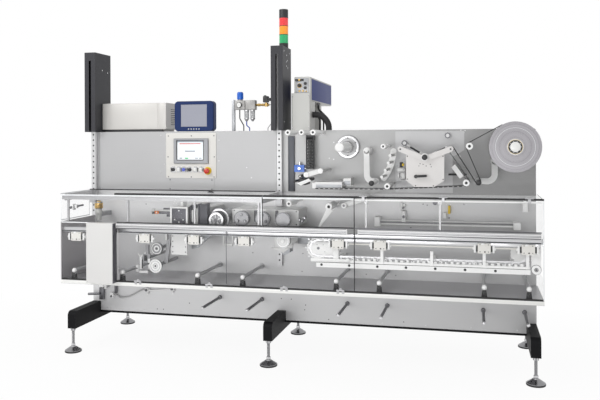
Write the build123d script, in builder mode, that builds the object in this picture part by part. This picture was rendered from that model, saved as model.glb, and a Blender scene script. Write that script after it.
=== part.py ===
# Flow wrap machine of the balcony kind: a back wall on three beams carries the film unit, the wrapping
# heads and the lug chain in front of it, all behind a clear guard.
# Millimetres, +Z up. The origin is on the floor, under the middle of the machine. The operator
# stands on the -Y side. Places are given from the wall's left edge, out of its front face, and up.
from build123d import *
from math import asin, atan2, cos, hypot, pi, radians, sin
import os

os.makedirs("parts", exist_ok=True)

# Driving dimensions: wall and cabinet
wall_length = 3150.0
wall_bottom = 218.0
wall_seam = 1107.0
wall_top = 1540.0
wall_thick = 20.0
cabinet_depth = 480.0
cabinet_side_gap = 15.0
cabinet_lid_thick = 8.0
cabinet_lid_lap = 5.0
cover_panel_thick = 12.0
cover_panel_count = 4
cover_panel_gap = 14.0
rail_strip_width = 56.0
bottom_rail_height = 14.0
bottom_rail_lap = 2.0

# Driving dimensions: beams and feet
beam_width = 60.0
beam_height = 120.0
beam_bottom = 165.0
beam_front = 352.0
beam_rear = 540.0
beam_inset = 31.5
middle_beam_x = 1454.0
foot_front = 330.0
foot_rear = 480.0
foot_radius = 57.5
pad_height = 10.0
plate_height = 26.0
spindle_radius = 9.0
nut_height = 16.0
nut_radius = 17.0
notch_clearance = 1.0

# Driving dimensions: the machine's reach, which sets the origin
reach_front = 530.0
reach_rear = 780.0

# Driving dimensions: lift columns and guide rails
column_width = 86.0
column_front = 70.0
column_rear = 160.0
column_top = 2125.0
column_wall = 3.0
left_column_x = 18.0
right_column_x = 1445.0
slot_width = 18.0
slot_top = 2065.0
rail_width = 34.0
rail_height = 29.0
rail_offset = 4.0
rail_bottom = 600.0
rail_hole_radius = 7.0
rail_hole_depth = 14.0
rail_hole_pitch = 80.0
carriage_width = 46.0
carriage_thick = 18.0
carriage_height = 100.0
carriage_bottom = 1020.0
running_gap = 0.5

# Driving dimensions: guard
guard_left = 28.0
guard_right = wall_length + 6.0
guard_out = 475.0
glass = 6.0
guard_bottom = 531.0
guard_top = 1118.0
door_gap = 6.0
tray_sheet = 3.0
lip_height = 25.0
seal_height = 10.0
seal_depth = 10.0
cross_rail_bottom = 858.0
cross_rail_height = 30.0
cross_rail_depth = 30.0
door_split_left = 450.0
door_split_middle = 1216.0
door_split_right = 2047.0
handle_bar_height = 34.0
handle_bar_bottom = 890.0
handle_bar_depth = 25.0
hood_bottom = 932.0
hood_right = 1456.0
hood_rear = 95.0
hood_rail = 30.0
hood_posts = (80.0, 524.0, 999.0, 1432.0)
hood_post_width = 12.0
arm_thick = 8.0
arm_height = 46.0
hinge_radius = 5.0
hinge_length = 16.0
hinge_gap = 0.3

# The wall's left edge and front face, from the origin
wall_left = -wall_length / 2
wall_y = (reach_front - reach_rear) / 2


# Places on the machine: along from the wall's left edge, out of its face, up from the floor
def middle(span):
    return (span[0] + span[1]) / 2


def size_of(span):
    return abs(span[1] - span[0])


def at(along, out, up):
    return (wall_left + along, wall_y - out, up)


def face(out):
    """A plane that faces the operator, with its origin at the wall's left edge on the floor."""
    return Plane(origin=at(0, out, 0), x_dir=(1, 0, 0), z_dir=(0, -1, 0))


def level(up):
    return Plane(origin=at(0, 0, up), x_dir=(1, 0, 0), z_dir=(0, 0, 1))


def block(along, out, up, mode=Mode.ADD):
    """A block between two places along, two distances out and two heights."""
    with Locations(at(middle(along), middle(out), middle(up))):
        Box(size_of(along), size_of(out), size_of(up), mode=mode)


def round_out(along, up, radius, out, mode=Mode.ADD):
    """A round bar that points at the operator, between two distances out of the wall."""
    with Locations(Location(at(along, middle(out), up), (90, 0, 0))):
        Cylinder(radius, size_of(out), mode=mode)


def round_along(along, out, up, radius, mode=Mode.ADD):
    """A round bar along the machine."""
    with Locations(Location(at(middle(along), out, up), (0, 90, 0))):
        Cylinder(radius, size_of(along), mode=mode)


def round_up(along, out, up, radius, mode=Mode.ADD):
    """An upright round bar."""
    with Locations(at(along, out, middle(up))):
        Cylinder(radius, size_of(up), mode=mode)


def finish(piece, name):
    piece.part.label = name
    export_step(piece.part, "parts/" + name + ".step")


# Base frame: three beams across the machine with rounded noses, and the rail under the wall
beam_top = beam_bottom + beam_height
beam_xs = (beam_inset, middle_beam_x, wall_length - beam_inset)
beam_nose = 32.0
notch_half = beam_width / 2 + notch_clearance
with BuildPart() as base_frame:
    for beam_x in beam_xs:
        block(
            (beam_x - beam_width / 2, beam_x + beam_width / 2),
            (-beam_rear, beam_front),
            (beam_bottom, beam_top),
        )
    fillet(base_frame.edges().filter_by(Axis.X).group_by(Axis.Z)[-1], beam_nose)
    for start, end in zip(beam_xs, beam_xs[1:]):
        block(
            (start + notch_half, end - notch_half),
            (-wall_thick, bottom_rail_lap),
            (wall_bottom - bottom_rail_height, wall_bottom),
        )
finish(base_frame, "base_frame")

# Levelling feet: a rubber pad, a domed steel plate and a threaded spindle up to its nut
foot_places = []
for beam_x in beam_xs:
    foot_places.append((beam_x, foot_front))
    foot_places.append((beam_x, -foot_rear))
plate_rim = 4.0
plate_shoulder = 22.0
plate_neck = 13.0
neck_top = 46.0
pad_edge = 2.0
plate_inset = 1.5
with BuildPart() as pads:
    for foot_x, foot_out in foot_places:
        round_up(foot_x, foot_out, (0, pad_height), foot_radius)
    fillet(pads.edges().group_by(Axis.Z)[0], pad_edge)
finish(pads, "levelling_foot_pads")

with BuildPart() as feet:
    with BuildSketch(Plane.XZ) as foot_profile:
        with BuildLine():
            Polyline(
                (0, pad_height),
                (foot_radius - plate_inset, pad_height),
                (foot_radius - plate_inset, pad_height + plate_rim),
                (plate_shoulder, pad_height + plate_height),
                (plate_neck, pad_height + plate_height),
                (plate_neck, neck_top),
                (spindle_radius, neck_top),
                (spindle_radius, beam_bottom - nut_height),
                (nut_radius, beam_bottom - nut_height),
                (nut_radius, beam_bottom),
                (0, beam_bottom),
                close=True,
            )
        make_face()
    foot_turn = revolve(foot_profile.sketch, Axis.Z, mode=Mode.PRIVATE)
    for foot_x, foot_out in foot_places:
        with Locations(at(foot_x, foot_out, 0)):
            add(foot_turn)
finish(feet, "levelling_feet")

# Lower wall plate: carries the guard and the drives, notched over the beams
with BuildPart() as lower_wall:
    block((0, wall_length), (-wall_thick, 0), (wall_bottom, wall_seam))
    notches = (
        (-1, beam_inset + notch_half),
        (middle_beam_x - notch_half, middle_beam_x + notch_half),
        (wall_length - beam_inset - notch_half, wall_length + 1),
    )
    for notch in notches:
        block(notch, (-wall_thick, 0), (wall_bottom - 1, beam_top), mode=Mode.SUBTRACT)
finish(lower_wall, "lower_wall_plate")

# Upper wall: cabinet front with joints beside the rail strips on the left, film plate on the right
strip_right_end = right_column_x + column_width / 2
joint_width = 2.0
joint_depth = 4.0
sheet_x = (605.0, 959.0)
sheet_z = (wall_seam + 12, 1202.0)
sheet_thick = 2.0
right_joint_x = strip_right_end - rail_strip_width - 10
wall_corner = 12.0
with BuildPart() as cabinet_front:
    block((0, strip_right_end), (-wall_thick, 0), (wall_seam, wall_top))
    for joint_x in (rail_strip_width, right_joint_x):
        block(
            (joint_x, joint_x + joint_width),
            (-joint_depth, 1),
            (wall_seam - 1, wall_top + 1),
            mode=Mode.SUBTRACT,
        )
    block(sheet_x, (0, sheet_thick), sheet_z)
finish(cabinet_front, "cabinet_front_panel")

with BuildPart() as film_wall:
    block((strip_right_end, wall_length), (-wall_thick, 0), (wall_seam, wall_top))
    fillet(film_wall.edges().filter_by(Axis.Y).sort_by(Axis.Z)[-1:], wall_corner)
finish(film_wall, "film_wall_plate")

# Rear cabinet: a closed housing on the beams, with a lid and bolted cover panels behind
cabinet_left = cabinet_side_gap
cabinet_right = wall_length - cabinet_side_gap
cabinet_back = wall_thick + cabinet_depth
lid_bottom = wall_top - cabinet_lid_thick
with BuildPart() as cabinet:
    block((cabinet_left, cabinet_right), (-cabinet_back, -wall_thick), (beam_top, lid_bottom))
    fillet(cabinet.edges().filter_by(Axis.Z).group_by(Axis.Y)[-1], wall_corner)
    block(
        (cabinet_left - cabinet_lid_lap, cabinet_right + cabinet_lid_lap),
        (-cabinet_back - cabinet_lid_lap, -wall_thick),
        (lid_bottom, wall_top),
    )
finish(cabinet, "rear_cabinet")

panel_margin = (30.0, 40.0)
panel_bevel = 4.0
panel_zone = (cabinet_left + panel_margin[0], cabinet_right - panel_margin[0])
panel_pitch = size_of(panel_zone) / cover_panel_count
with BuildPart() as covers:
    for index in range(cover_panel_count):
        start = panel_zone[0] + index * panel_pitch + cover_panel_gap / 2
        block(
            (start, start + panel_pitch - cover_panel_gap),
            (-cabinet_back - cover_panel_thick, -cabinet_back),
            (beam_top + panel_margin[1], lid_bottom - panel_margin[1]),
        )
    chamfer(covers.faces().group_by(Axis.Y)[-1].edges(), panel_bevel)
finish(covers, "rear_cover_panels")

# Linear guide rails on the strips, running on up inside the columns
rail_centres = (left_column_x + rail_offset, right_column_x + rail_offset)
rail_top = slot_top + 30
waist_share = (0.35, 0.5, 0.75)
rail_waist = 6.0
with BuildPart() as rails:
    for rail_x in rail_centres:
        half = rail_width / 2
        with BuildSketch(level(rail_bottom)):
            with BuildLine():
                Polyline(
                    (rail_x - half, 0),
                    (rail_x + half, 0),
                    (rail_x + half, -rail_height * waist_share[0]),
                    (rail_x + half - rail_waist, -rail_height * waist_share[1]),
                    (rail_x + half, -rail_height * waist_share[2]),
                    (rail_x + half, -rail_height),
                    (rail_x - half, -rail_height),
                    (rail_x - half, -rail_height * waist_share[2]),
                    (rail_x - half + rail_waist, -rail_height * waist_share[1]),
                    (rail_x - half, -rail_height * waist_share[0]),
                    close=True,
                )
            make_face()
        extrude(amount=rail_top - rail_bottom)
    hole_count = int((rail_top - rail_bottom) / rail_hole_pitch)
    for rail_x in rail_centres:
        for index in range(hole_count):
            round_out(
                rail_x,
                rail_bottom + rail_hole_pitch * (index + 0.5),
                rail_hole_radius,
                (rail_height - rail_hole_depth, rail_height + 1),
                mode=Mode.SUBTRACT,
            )
finish(rails, "guide_rails")

# Lift columns: hollow, with a web that the rail is bolted to and a slot for the hood's arm
column_web = 12.0
column_half = column_width / 2
with BuildPart() as columns:
    for column_x in (left_column_x, right_column_x):
        inner = (column_x - column_half + column_wall, column_x + column_half - column_wall)
        block(
            (column_x - column_half, column_x + column_half),
            (-column_rear, column_front),
            (wall_top, column_top),
        )
        block(
            inner,
            (0, column_front - column_wall),
            (wall_top, column_top - column_wall),
            mode=Mode.SUBTRACT,
        )
        block(
            inner,
            (-column_rear + column_wall, -column_web),
            (wall_top, column_top - column_wall),
            mode=Mode.SUBTRACT,
        )
        block(
            (column_x - slot_width / 2, column_x + slot_width / 2),
            (column_front - column_wall - 1, column_front + 1),
            (wall_top, slot_top),
            mode=Mode.SUBTRACT,
        )
finish(columns, "lift_columns")

# Operator plate with touch panel, buttons and emergency stop
plate_x = (591.0, 976.0)
plate_z = (1203.0, 1528.0)
plate_thick = 4.0
frame_x = (654.0, 919.0)
frame_z = (1308.0, 1488.0)
frame_thick = 12.0
frame_border = 22.0
screen_recess = 2.5
button_z = 1264.0
button_xs = (649.0, 692.0, 730.0, 777.0, 819.0, 861.0)
button_radius = 15.0
button_ring = 4.0
button_depth = 14.0
stop_x = 913.0
stop_z = button_z - 8
stop_radius = 20.0
stop_ring = 8.0
stop_steps = (5.0, 22.0, 38.0)
stop_edge = 6.0
plate_corner = 10.0
frame_bevel = 3.0
with BuildPart() as operator_plate:
    block(plate_x, (0, plate_thick), plate_z)
    fillet(operator_plate.edges().filter_by(Axis.Y), plate_corner)
finish(operator_plate, "operator_plate")

with BuildPart() as touch_panel:
    block(frame_x, (plate_thick, plate_thick + frame_thick), frame_z)
    chamfer(touch_panel.faces().sort_by(Axis.Y)[0].edges(), frame_bevel)
    block(
        (frame_x[0] + frame_border, frame_x[1] - frame_border * 1.5),
        (plate_thick + frame_thick - screen_recess, plate_thick + frame_thick + 1),
        (frame_z[0] + frame_border, frame_z[1] - frame_border / 2),
        mode=Mode.SUBTRACT,
    )
finish(touch_panel, "touch_panel")

with BuildPart() as buttons:
    ring_top = plate_thick + button_ring
    for button_x in button_xs:
        round_out(button_x, button_z, button_radius, (plate_thick, ring_top))
        round_out(button_x, button_z, button_radius - button_ring, (ring_top, plate_thick + button_depth))
    stop_levels = [plate_thick] + [plate_thick + step for step in stop_steps]
    round_out(stop_x, stop_z, stop_radius + stop_ring, stop_levels[0:2])
    round_out(stop_x, stop_z, stop_radius - stop_ring, stop_levels[1:3])
    round_out(stop_x, stop_z, stop_radius, stop_levels[2:4])
    fillet(buttons.faces().sort_by(Axis.Y)[0].edges(), stop_edge)
finish(buttons, "operator_buttons")

# Coder controller and its display on the cabinet
coder_x = (63.0, 579.0)
coder_front = -30.0
coder_depth = 240.0
coder_z = (1558.0, 1751.0)
coder_foot = 30.0
coder_corner = 6.0
display_x = (655.0, 955.0)
display_z = (1540.0, 1758.0)
display_thick = 60.0
display_border = 50.0
display_corner = 28.0
display_edge = 8.0
display_low_border = 33.0
with BuildPart() as coder_box:
    block(coder_x, (coder_front - coder_depth, coder_front), coder_z)
    fillet(coder_box.edges().filter_by(Axis.Z), coder_corner)
    block(
        (coder_x[0] + coder_foot, coder_x[1] - coder_foot),
        (coder_front - coder_depth + coder_foot, coder_front - coder_foot),
        (wall_top, coder_z[0]),
    )
finish(coder_box, "coder_controller_box")

with BuildPart() as coder_display:
    block(display_x, (-display_thick, 0), display_z)
    fillet(coder_display.edges().filter_by(Axis.Y), display_corner)
    fillet(coder_display.faces().sort_by(Axis.Y)[0].edges(), display_edge)
    block(
        (display_x[0] + display_border, display_x[1] - display_border),
        (-screen_recess, 1),
        (display_z[0] + display_low_border, display_z[1] - display_border / 2),
        mode=Mode.SUBTRACT,
    )
finish(coder_display, "coder_display")

# Air preparation unit: post, regulator, filter bowls and shut-off valve
post_x = (1077.0, 1098.0)
post_top = 1763.0
post_depth = 22.0
air_out = -50.0
air_axis = air_out - 20
regulator_x = (1103.0, 1253.0)
regulator_out = (air_out - 45, air_out + 5)
regulator_z = (1689.0, 1761.0)
regulator_corner = 6.0
dial_x = 1134.0
dial_radius = 22.0
dial_top = 1820.0
bowl_xs = (1182.0, 1227.0)
bowl_radius = 19.0
bowl_bottom = 1620.0
bowl_tip_radius = 10.0
bowl_tip_height = 24.0
outlet_x = 1330.0
outlet_z = 1725.0
outlet_radius = 11.0
valve_x = (1310.0, 1350.0)
valve_z = (1712.0, 1740.0)
valve_head_x = (1316.0, 1346.0)
valve_head_top = 1790.0
with BuildPart() as air_unit:
    block((post_x[1], regulator_x[1]), regulator_out, regulator_z)
    fillet(air_unit.edges().filter_by(Axis.Y), regulator_corner)
    round_up(dial_x, air_axis, (regulator_z[1], dial_top), dial_radius)
    for bowl_x in bowl_xs:
        round_up(bowl_x, air_axis, (bowl_bottom, regulator_z[0]), bowl_radius)
        with Locations(at(bowl_x, air_axis, bowl_bottom - bowl_tip_height / 2)):
            Cone(bowl_tip_radius, bowl_radius, bowl_tip_height)
    block(post_x, (air_out - post_depth, air_out), (wall_top, post_top))
    round_along((regulator_x[1], outlet_x), air_axis, outlet_z, outlet_radius)
    block(valve_x, (air_axis - 20, air_axis + 20), valve_z)
    block(valve_head_x, (air_axis - 16, air_axis + 16), (valve_z[1], valve_head_top))
finish(air_unit, "air_preparation_unit")

# Signal tower on the right column
tower_x = 1454.0
tower_out = -90.0
tower_radius = 32.0
tower_bounds = (2157.0, 2221.0, 2282.0, 2340.0)
tower_top = 2400.0
tower_edge = 3.0
lens_names = ("signal_lens_green", "signal_lens_amber", "signal_lens_red")
with BuildPart() as tower_body:
    round_up(tower_x, tower_out, (column_top, tower_bounds[0]), tower_radius)
    round_up(tower_x, tower_out, (tower_bounds[-1], tower_top), tower_radius)
    fillet(tower_body.faces().sort_by(Axis.Z)[-1].edges(), tower_edge)
finish(tower_body, "signal_tower_body")

for lens_name, lens_low, lens_high in zip(lens_names, tower_bounds, tower_bounds[1:]):
    with BuildPart() as lens:
        round_up(tower_x, tower_out, (lens_low, lens_high), tower_radius)
    finish(lens, lens_name)

# Laser marker lying across the cabinet, on its chute in front and a stand behind
laser_x = (1545.0, 1660.0)
laser_z = (1744.0, 1914.0)
laser_front = -30.0
chute_x = (1530.0, 1666.0)
chute_top = 1799.0
chute_back = -150.0
chute_plate = 28.0
chute_corner = 10.0
laser_bevel = 6.0
stand_out = (-490.0, -430.0)
stand_inset = 20.0
with BuildPart() as laser:
    block(laser_x, (-reach_rear, laser_front), laser_z)
    chamfer(laser.edges().filter_by(Axis.Y), laser_bevel)
finish(laser, "laser_marker")

with BuildPart() as chute:
    block(chute_x, (chute_back, -chute_plate), (wall_top, laser_z[0]))
    block(chute_x, (-chute_plate, 0), (wall_top, chute_top))
    fillet(chute.edges().filter_by(Axis.Z).group_by(Axis.Y)[0], chute_corner)
    block((laser_x[0] + stand_inset, laser_x[1] - stand_inset), stand_out, (wall_top, laser_z[0]))
finish(chute, "laser_supports")

# Hoses and cables, each whole from end to end: the fume hose from the chute's side down onto the
# cabinet, the laser's cables, the air lines, and the hose low on the wall
hose_bend = 95.0
hose_out = -75.0
hose_start = (chute_x[1], 1650.0)
hose_drop = hose_start[0] + 20 + hose_bend
fume_hose = (
    (hose_start[0], hose_out, hose_start[1]),
    (hose_drop, hose_out, hose_start[1]),
    (hose_drop, hose_out, wall_top),
)
low_hose_out = 16.0
low_hose_ends = ((432.0, 387.0), (178.0, 340.0))
low_hose = (
    (low_hose_ends[0][0], low_hose_out, low_hose_ends[0][1]),
    (405.0, low_hose_out, low_hose_ends[0][1]),
    (300.0, low_hose_out, 330.0),
    (230.0, low_hose_out, 318.0),
    (200.0, low_hose_out, low_hose_ends[1][1]),
    (low_hose_ends[1][0], low_hose_out, low_hose_ends[1][1]),
)
valve_line = (
    (valve_x[1], air_axis, 1726.0),
    (1372.0, air_axis, 1726.0),
    (1372.0, air_axis, 1600.0),
    (1340.0, air_axis, 1560.0),
    (1340.0, air_axis, wall_top),
)


def drop(start, knees, out):
    """Corners of a cable that drops from start, steps aside between two knees, and drops to the cabinet."""
    high, low = knees
    return (
        (start[0], out, start[1]),
        (start[0], out, high),
        (low[0], out, low[1]),
        (low[0], out, wall_top),
    )


# Each run has its corners, the radius of the hose and the radius of its bends
hose_runs = (
    (fume_hose, 22.0, hose_bend),
    (drop((1650.0, laser_z[0]), (1690.0, (1690.0, 1620.0)), -200.0), 7.0, 28.0),
    (drop((1652.0, laser_z[0]), (1700.0, (1722.0, 1630.0)), -330.0), 8.0, 32.0),
    (drop((1600.0, laser_z[0]), (1680.0, (1642.0, 1620.0)), -560.0), 7.0, 28.0),
    (drop((1130.0, regulator_z[0]), (1630.0, (1160.0, 1580.0)), air_axis), 4.0, 18.0),
    (drop((bowl_xs[0], bowl_bottom - bowl_tip_height), (1580.0, (1204.0, 1562.0)), air_axis), 4.0, 8.0),
    (valve_line, 3.0, 12.0),
    (low_hose, 5.0, 20.0),
)
with BuildPart() as hoses:
    for places, run_radius, run_bend in hose_runs:
        with BuildLine(mode=Mode.PRIVATE) as run_line:
            FilletPolyline(*[at(*place) for place in places], radius=run_bend)
        run_path = run_line.wire()
        with BuildSketch(Plane(run_path @ 0, z_dir=run_path % 0)):
            Circle(run_radius)
        sweep(path=run_path)
finish(hoses, "hoses_and_cables")

# Cable guides: dark channel and drag chain beside the chute, fittings low on the wall; and the blue valve
fitting_blocks = (
    ((432.0, 458.0), 32.0, (372.0, 402.0)),
    ((630.0, 656.0), 26.0, (388.0, 416.0)),
    ((150.0, 178.0), 32.0, (322.0, 356.0)),
    ((60.0, 96.0), 24.0, (300.0, 420.0)),
    ((104.0, 122.0), 30.0, (380.0, 470.0)),
    ((130.0, 146.0), 30.0, (400.0, 480.0)),
)
channel_x = (1508.0, 1554.0)
channel_depth = 12.0
channel_top = 1501.0
chain_x = (1648.0, 1702.0)
chain_depth = (30.0, 70.0)
chain_z = (1273.0, 1508.0)
pocket_count = 5
pocket_bottom = 1290.0
pocket_pitch = 42.0
pocket_height = 26.0
pocket_inset = 8.0
pocket_depth = 10.0
foot_inset = 12.0
foot_z = (1470.0, 1500.0)
with BuildPart() as drag_chain:
    for fitting_along, fitting_out, fitting_up in fitting_blocks:
        block(fitting_along, (0, fitting_out), fitting_up)
    block(channel_x, (0, channel_depth), (guard_top, channel_top))
    block(chain_x, chain_depth, chain_z)
    for index in range(pocket_count):
        low = pocket_bottom + index * pocket_pitch
        block(
            (chain_x[0] + pocket_inset, chain_x[1] - pocket_inset),
            (chain_depth[1] - pocket_depth, chain_depth[1] + 1),
            (low, low + pocket_height),
            mode=Mode.SUBTRACT,
        )
    block((chain_x[0] + foot_inset, chain_x[1] - foot_inset), (0, chain_depth[0]), foot_z)
finish(drag_chain, "cable_guides")

blue_x = (1560.0, 1630.0)
blue_out = (12.0, 40.0)
blue_z = (1253.0, 1301.0)
blue_foot_x = (1575.0, 1615.0)
blue_foot_z = (1262.0, 1292.0)
with BuildPart() as blue_valve:
    block(blue_x, blue_out, blue_z)
    block(blue_foot_x, (0, blue_out[0]), blue_foot_z)
finish(blue_valve, "blue_air_valve")

# Film roll on its core and spindle
roll_x = 3006.0
roll_z = 1424.0
roll_radius = 154.0
roll_out = (180.0, 330.0)
core_radius = 45.0
core_bore = 38.0
spindle_seat = 30.5
fit_gap = 0.3
wind_gap = 0.1
core_lap = 4.0
mandrel_end = roll_out[1] - 10
mandrel_nose = roll_out[1] + 14
flange_radius = core_radius + 12
flange_back = roll_out[0] - 16
with BuildPart() as roll:
    round_out(roll_x, roll_z, roll_radius, roll_out)
    round_out(
        roll_x, roll_z, core_radius + wind_gap, (roll_out[0] - 1, roll_out[1] + 1), mode=Mode.SUBTRACT
    )
finish(roll, "film_roll")

with BuildPart() as core:
    core_out = (roll_out[0] - core_lap, roll_out[1] + core_lap)
    round_out(roll_x, roll_z, core_radius, core_out)
    round_out(roll_x, roll_z, core_bore, (core_out[0] - 1, core_out[1] + 1), mode=Mode.SUBTRACT)
finish(core, "film_core")

with BuildPart() as mandrel:
    round_out(roll_x, roll_z, core_bore - wind_gap, (roll_out[0] - core_lap, mandrel_end))
    round_out(roll_x, roll_z, spindle_seat, (mandrel_end, mandrel_nose))
    round_out(roll_x, roll_z, flange_radius, (flange_back, roll_out[0] - core_lap))
finish(mandrel, "unwind_mandrel")

# Unwind hubs: the bearing behind the roll, and the empty second unwind with its bare spindle
hub_x = 1930.0
hub_z = 1424.0
hub_steps = ((78.0, (0, 16)), (40.0, (16, 60)), (30.0, (60, 330)))
spindle_edge = 3.0
bearing_steps = ((52.0, (0, 40)), (34.0, (40, flange_back - fit_gap)))
with BuildPart() as hub:
    for step_radius, step_out in hub_steps:
        round_out(hub_x, hub_z, step_radius, step_out)
    fillet(hub.faces().sort_by(Axis.Y)[0].edges(), spindle_edge)
    for step_radius, step_out in bearing_steps:
        round_out(roll_x, roll_z, step_radius, step_out)
finish(hub, "unwind_hubs")

# Idler rollers: each a shaft out of the wall with its roller
film_out = (170.0, 345.0)
shaft_radius = 8.0
roller_places = (
    (1594.0, 1521.0, 18.0),
    (1685.0, 1521.0, 18.0),
    (1761.0, 1521.0, 18.0),
    (2737.0, 1429.0, 21.0),
    (2717.0, 1205.0, 20.0),
    (2211.0, 1429.0, 16.0),
    (2235.0, 1179.0, 19.0),
    (1599.0, 1060.0, 18.0),
    (1862.0, 1045.0, 22.0),
)
wall_knobs = ((2314.0, 1449.0), (2596.0, 1498.0))
wall_knob_radius = 20.0
wall_knob_depth = 30.0
splice_plate = 3.0
with BuildPart() as idlers:
    for roller_x, roller_z, radius in roller_places:
        round_out(roller_x, roller_z, shaft_radius, (0, film_out[0]))
        round_out(roller_x, roller_z, radius, film_out)
    for knob_x, knob_z in wall_knobs:
        round_out(knob_x, knob_z, wall_knob_radius, (splice_plate, splice_plate + wall_knob_depth))
finish(idlers, "idler_rollers")

# Splice table: back plate, front shield with its two arms and lever
with BuildPart() as splice_back:
    with BuildSketch(face(0)):
        with BuildLine():
            Polyline(
                (2251.0, wall_seam + 12),
                (2627.0, wall_seam + 12),
                (2627.0, 1356.0),
                (2702.0, 1402.0),
                (2702.0, 1528.0),
                (2251.0, 1528.0),
                close=True,
            )
        make_face()
    extrude(amount=splice_plate)
finish(splice_back, "splice_back_plate")

shield_out = 345.0
shield_thick = 8.0
shield_posts = ((2400.0, 1230.0), (2540.0, 1230.0), (2470.0, 1300.0))
shield_post_radius = 14.0
splice_arm_out = shield_out + shield_thick
splice_arm_thick = 10.0
splice_arm_width = 34.0
splice_arm_root = (2470.0, 1352.0)
splice_arm_tips = ((2320.0, 1412.0), (2625.0, 1412.0))
tip_radius = 18.0
splice_knob = (2470.0, 1362.0)
splice_knob_radius = 16.0
splice_knob_depth = 18.0
lever_ends = ((2418.0, 1244.0), (2482.0, 1248.0))
lever_boss = 12.0
lever_width = 14.0
lever_thick = 8.0
with BuildPart() as shield:
    with BuildSketch(face(shield_out)):
        with BuildLine():
            Polyline(
                (2354.0, 1376.0),
                (2404.0, 1376.0),
                (2470.0, 1340.0),
                (2540.0, 1376.0),
                (2587.0, 1376.0),
                (2586.0, 1219.0),
                (2526.0, 1179.0),
                (2404.0, 1178.0),
                (2354.0, 1218.0),
                close=True,
            )
        make_face()
    extrude(amount=shield_thick)
    for shield_post in shield_posts:
        round_out(shield_post[0], shield_post[1], shield_post_radius, (splice_plate, shield_out))
    for tip in splice_arm_tips:
        with BuildSketch(face(splice_arm_out)):
            with BuildLine():
                Line(tip, splice_arm_root)
            trace(line_width=splice_arm_width)
            with Locations(tip, splice_arm_root):
                Circle(splice_arm_width / 2)
        extrude(amount=splice_arm_thick)
        round_out(tip[0], tip[1], tip_radius, (film_out[0], splice_arm_out))
    arm_face = splice_arm_out + splice_arm_thick
    round_out(splice_knob[0], splice_knob[1], splice_knob_radius, (arm_face, arm_face + splice_knob_depth))
    round_out(lever_ends[0][0], lever_ends[0][1], lever_boss, (splice_arm_out, arm_face))
    with BuildSketch(face(arm_face)):
        with BuildLine():
            Line(*lever_ends)
        trace(line_width=lever_width)
    extrude(amount=lever_thick)
finish(shield, "splice_unit")

# Dancer arms: bent arms that hang from a pivot on the wall, with a roller and a black knob
arm_back = 130.0
arm_plate = 12.0
dancer_width = 38.0
pivot_radius = 24.0
tip_shaft_radius = 14.0
tip_knob_radius = 16.0
tip_knob_depth = 20.0
dancers = (
    ((2890.0, 1330.0), (2875.0, 1200.0), (2790.0, 1209.0)),
    ((2076.0, 1398.0), (2078.0, 1200.0), (2140.0, 1199.0)),
)
with BuildPart() as dancer:
    for pivot, elbow, tip in dancers:
        with BuildSketch(face(arm_back)):
            with BuildLine():
                Polyline(pivot, elbow, tip)
            trace(line_width=dancer_width)
            with Locations(pivot, elbow, tip):
                Circle(dancer_width / 2)
        extrude(amount=arm_plate)
        round_out(pivot[0], pivot[1], pivot_radius, (0, arm_back))
        round_out(tip[0], tip[1], tip_shaft_radius, (arm_back + arm_plate, film_out[1]))
        round_out(tip[0], tip[1], tip_knob_radius, (film_out[1], film_out[1] + tip_knob_depth))
finish(dancer, "dancer_arms")

# Register sensor on its tilted holder
sensor_x = 2664.0
sensor_z = 1272.0
sensor_out = (130.0, 280.0)
sensor_width = 30.0
sensor_height = 88.0
sensor_tilt = 36.0
with BuildPart() as sensor:
    with Locations(Location(at(sensor_x, middle(sensor_out), sensor_z), (0, -sensor_tilt, 0))):
        Box(sensor_width, size_of(sensor_out), sensor_height)
    round_out(sensor_x, sensor_z, 9.0, (0, sensor_out[0] + 1))
finish(sensor, "register_sensor")

# Film guides: block under the laser chute, swing arm, and curved pin guide by the left dancer
curve_places = ((2253.0, 1396.0), (2240.0, 1322.0), (2190.0, 1222.0))
curve_width = 40.0
curve_out = 130.0
curve_thick = 10.0
pin_places = ((2253.0, 1372.0), (2242.0, 1326.0), (2223.0, 1280.0), (2200.0, 1238.0))
pin_radius = 9.0
curve_post_radius = 10.0
guide_blocks = (
    ((1765.0, 1940.0), (120, 300), (1160.0, 1200.0)),
    ((1940.0, 1990.0), (120, 250), (1175.0, 1222.0)),
    ((1830.0, 1880.0), (0, 120), (1170.0, 1195.0)),
)
guide_edge = 5.0
swing_ends = ((1705.0, 1246.0), (1800.0, 1272.0))
swing_out = 280.0
swing_thick = 20.0
swing_width = 30.0
swing_pivot_radius = 10.0
swing_roller_radius = 13.0
swing_roller_back = 160.0
with BuildPart() as film_guide:
    for guide_along, guide_out, guide_up in guide_blocks:
        block(guide_along, guide_out, guide_up)
    fillet(film_guide.edges().filter_by(Axis.Y).group_by(Axis.Z)[-1], guide_edge)
    with BuildSketch(face(swing_out)):
        with BuildLine():
            Line(*swing_ends)
        trace(line_width=swing_width)
        with Locations(*swing_ends):
            Circle(swing_width / 2)
    extrude(amount=swing_thick)
    round_out(swing_ends[1][0], swing_ends[1][1], swing_pivot_radius, (0, swing_out))
    round_out(swing_ends[0][0], swing_ends[0][1], swing_roller_radius, (swing_roller_back, swing_out))
    with BuildSketch(face(curve_out)):
        with BuildLine():
            ThreePointArc(*curve_places)
        trace(line_width=curve_width)
        with Locations(curve_places[0], curve_places[2]):
            Circle(curve_width / 2)
    extrude(amount=curve_thick)
    round_out(pin_places[2][0], pin_places[2][1], curve_post_radius, (0, curve_out + 2))
    for pin_x, pin_z in pin_places:
        round_out(pin_x, pin_z, pin_radius, (curve_out + curve_thick - 2, film_out[1]))
finish(film_guide, "film_guides")

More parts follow.
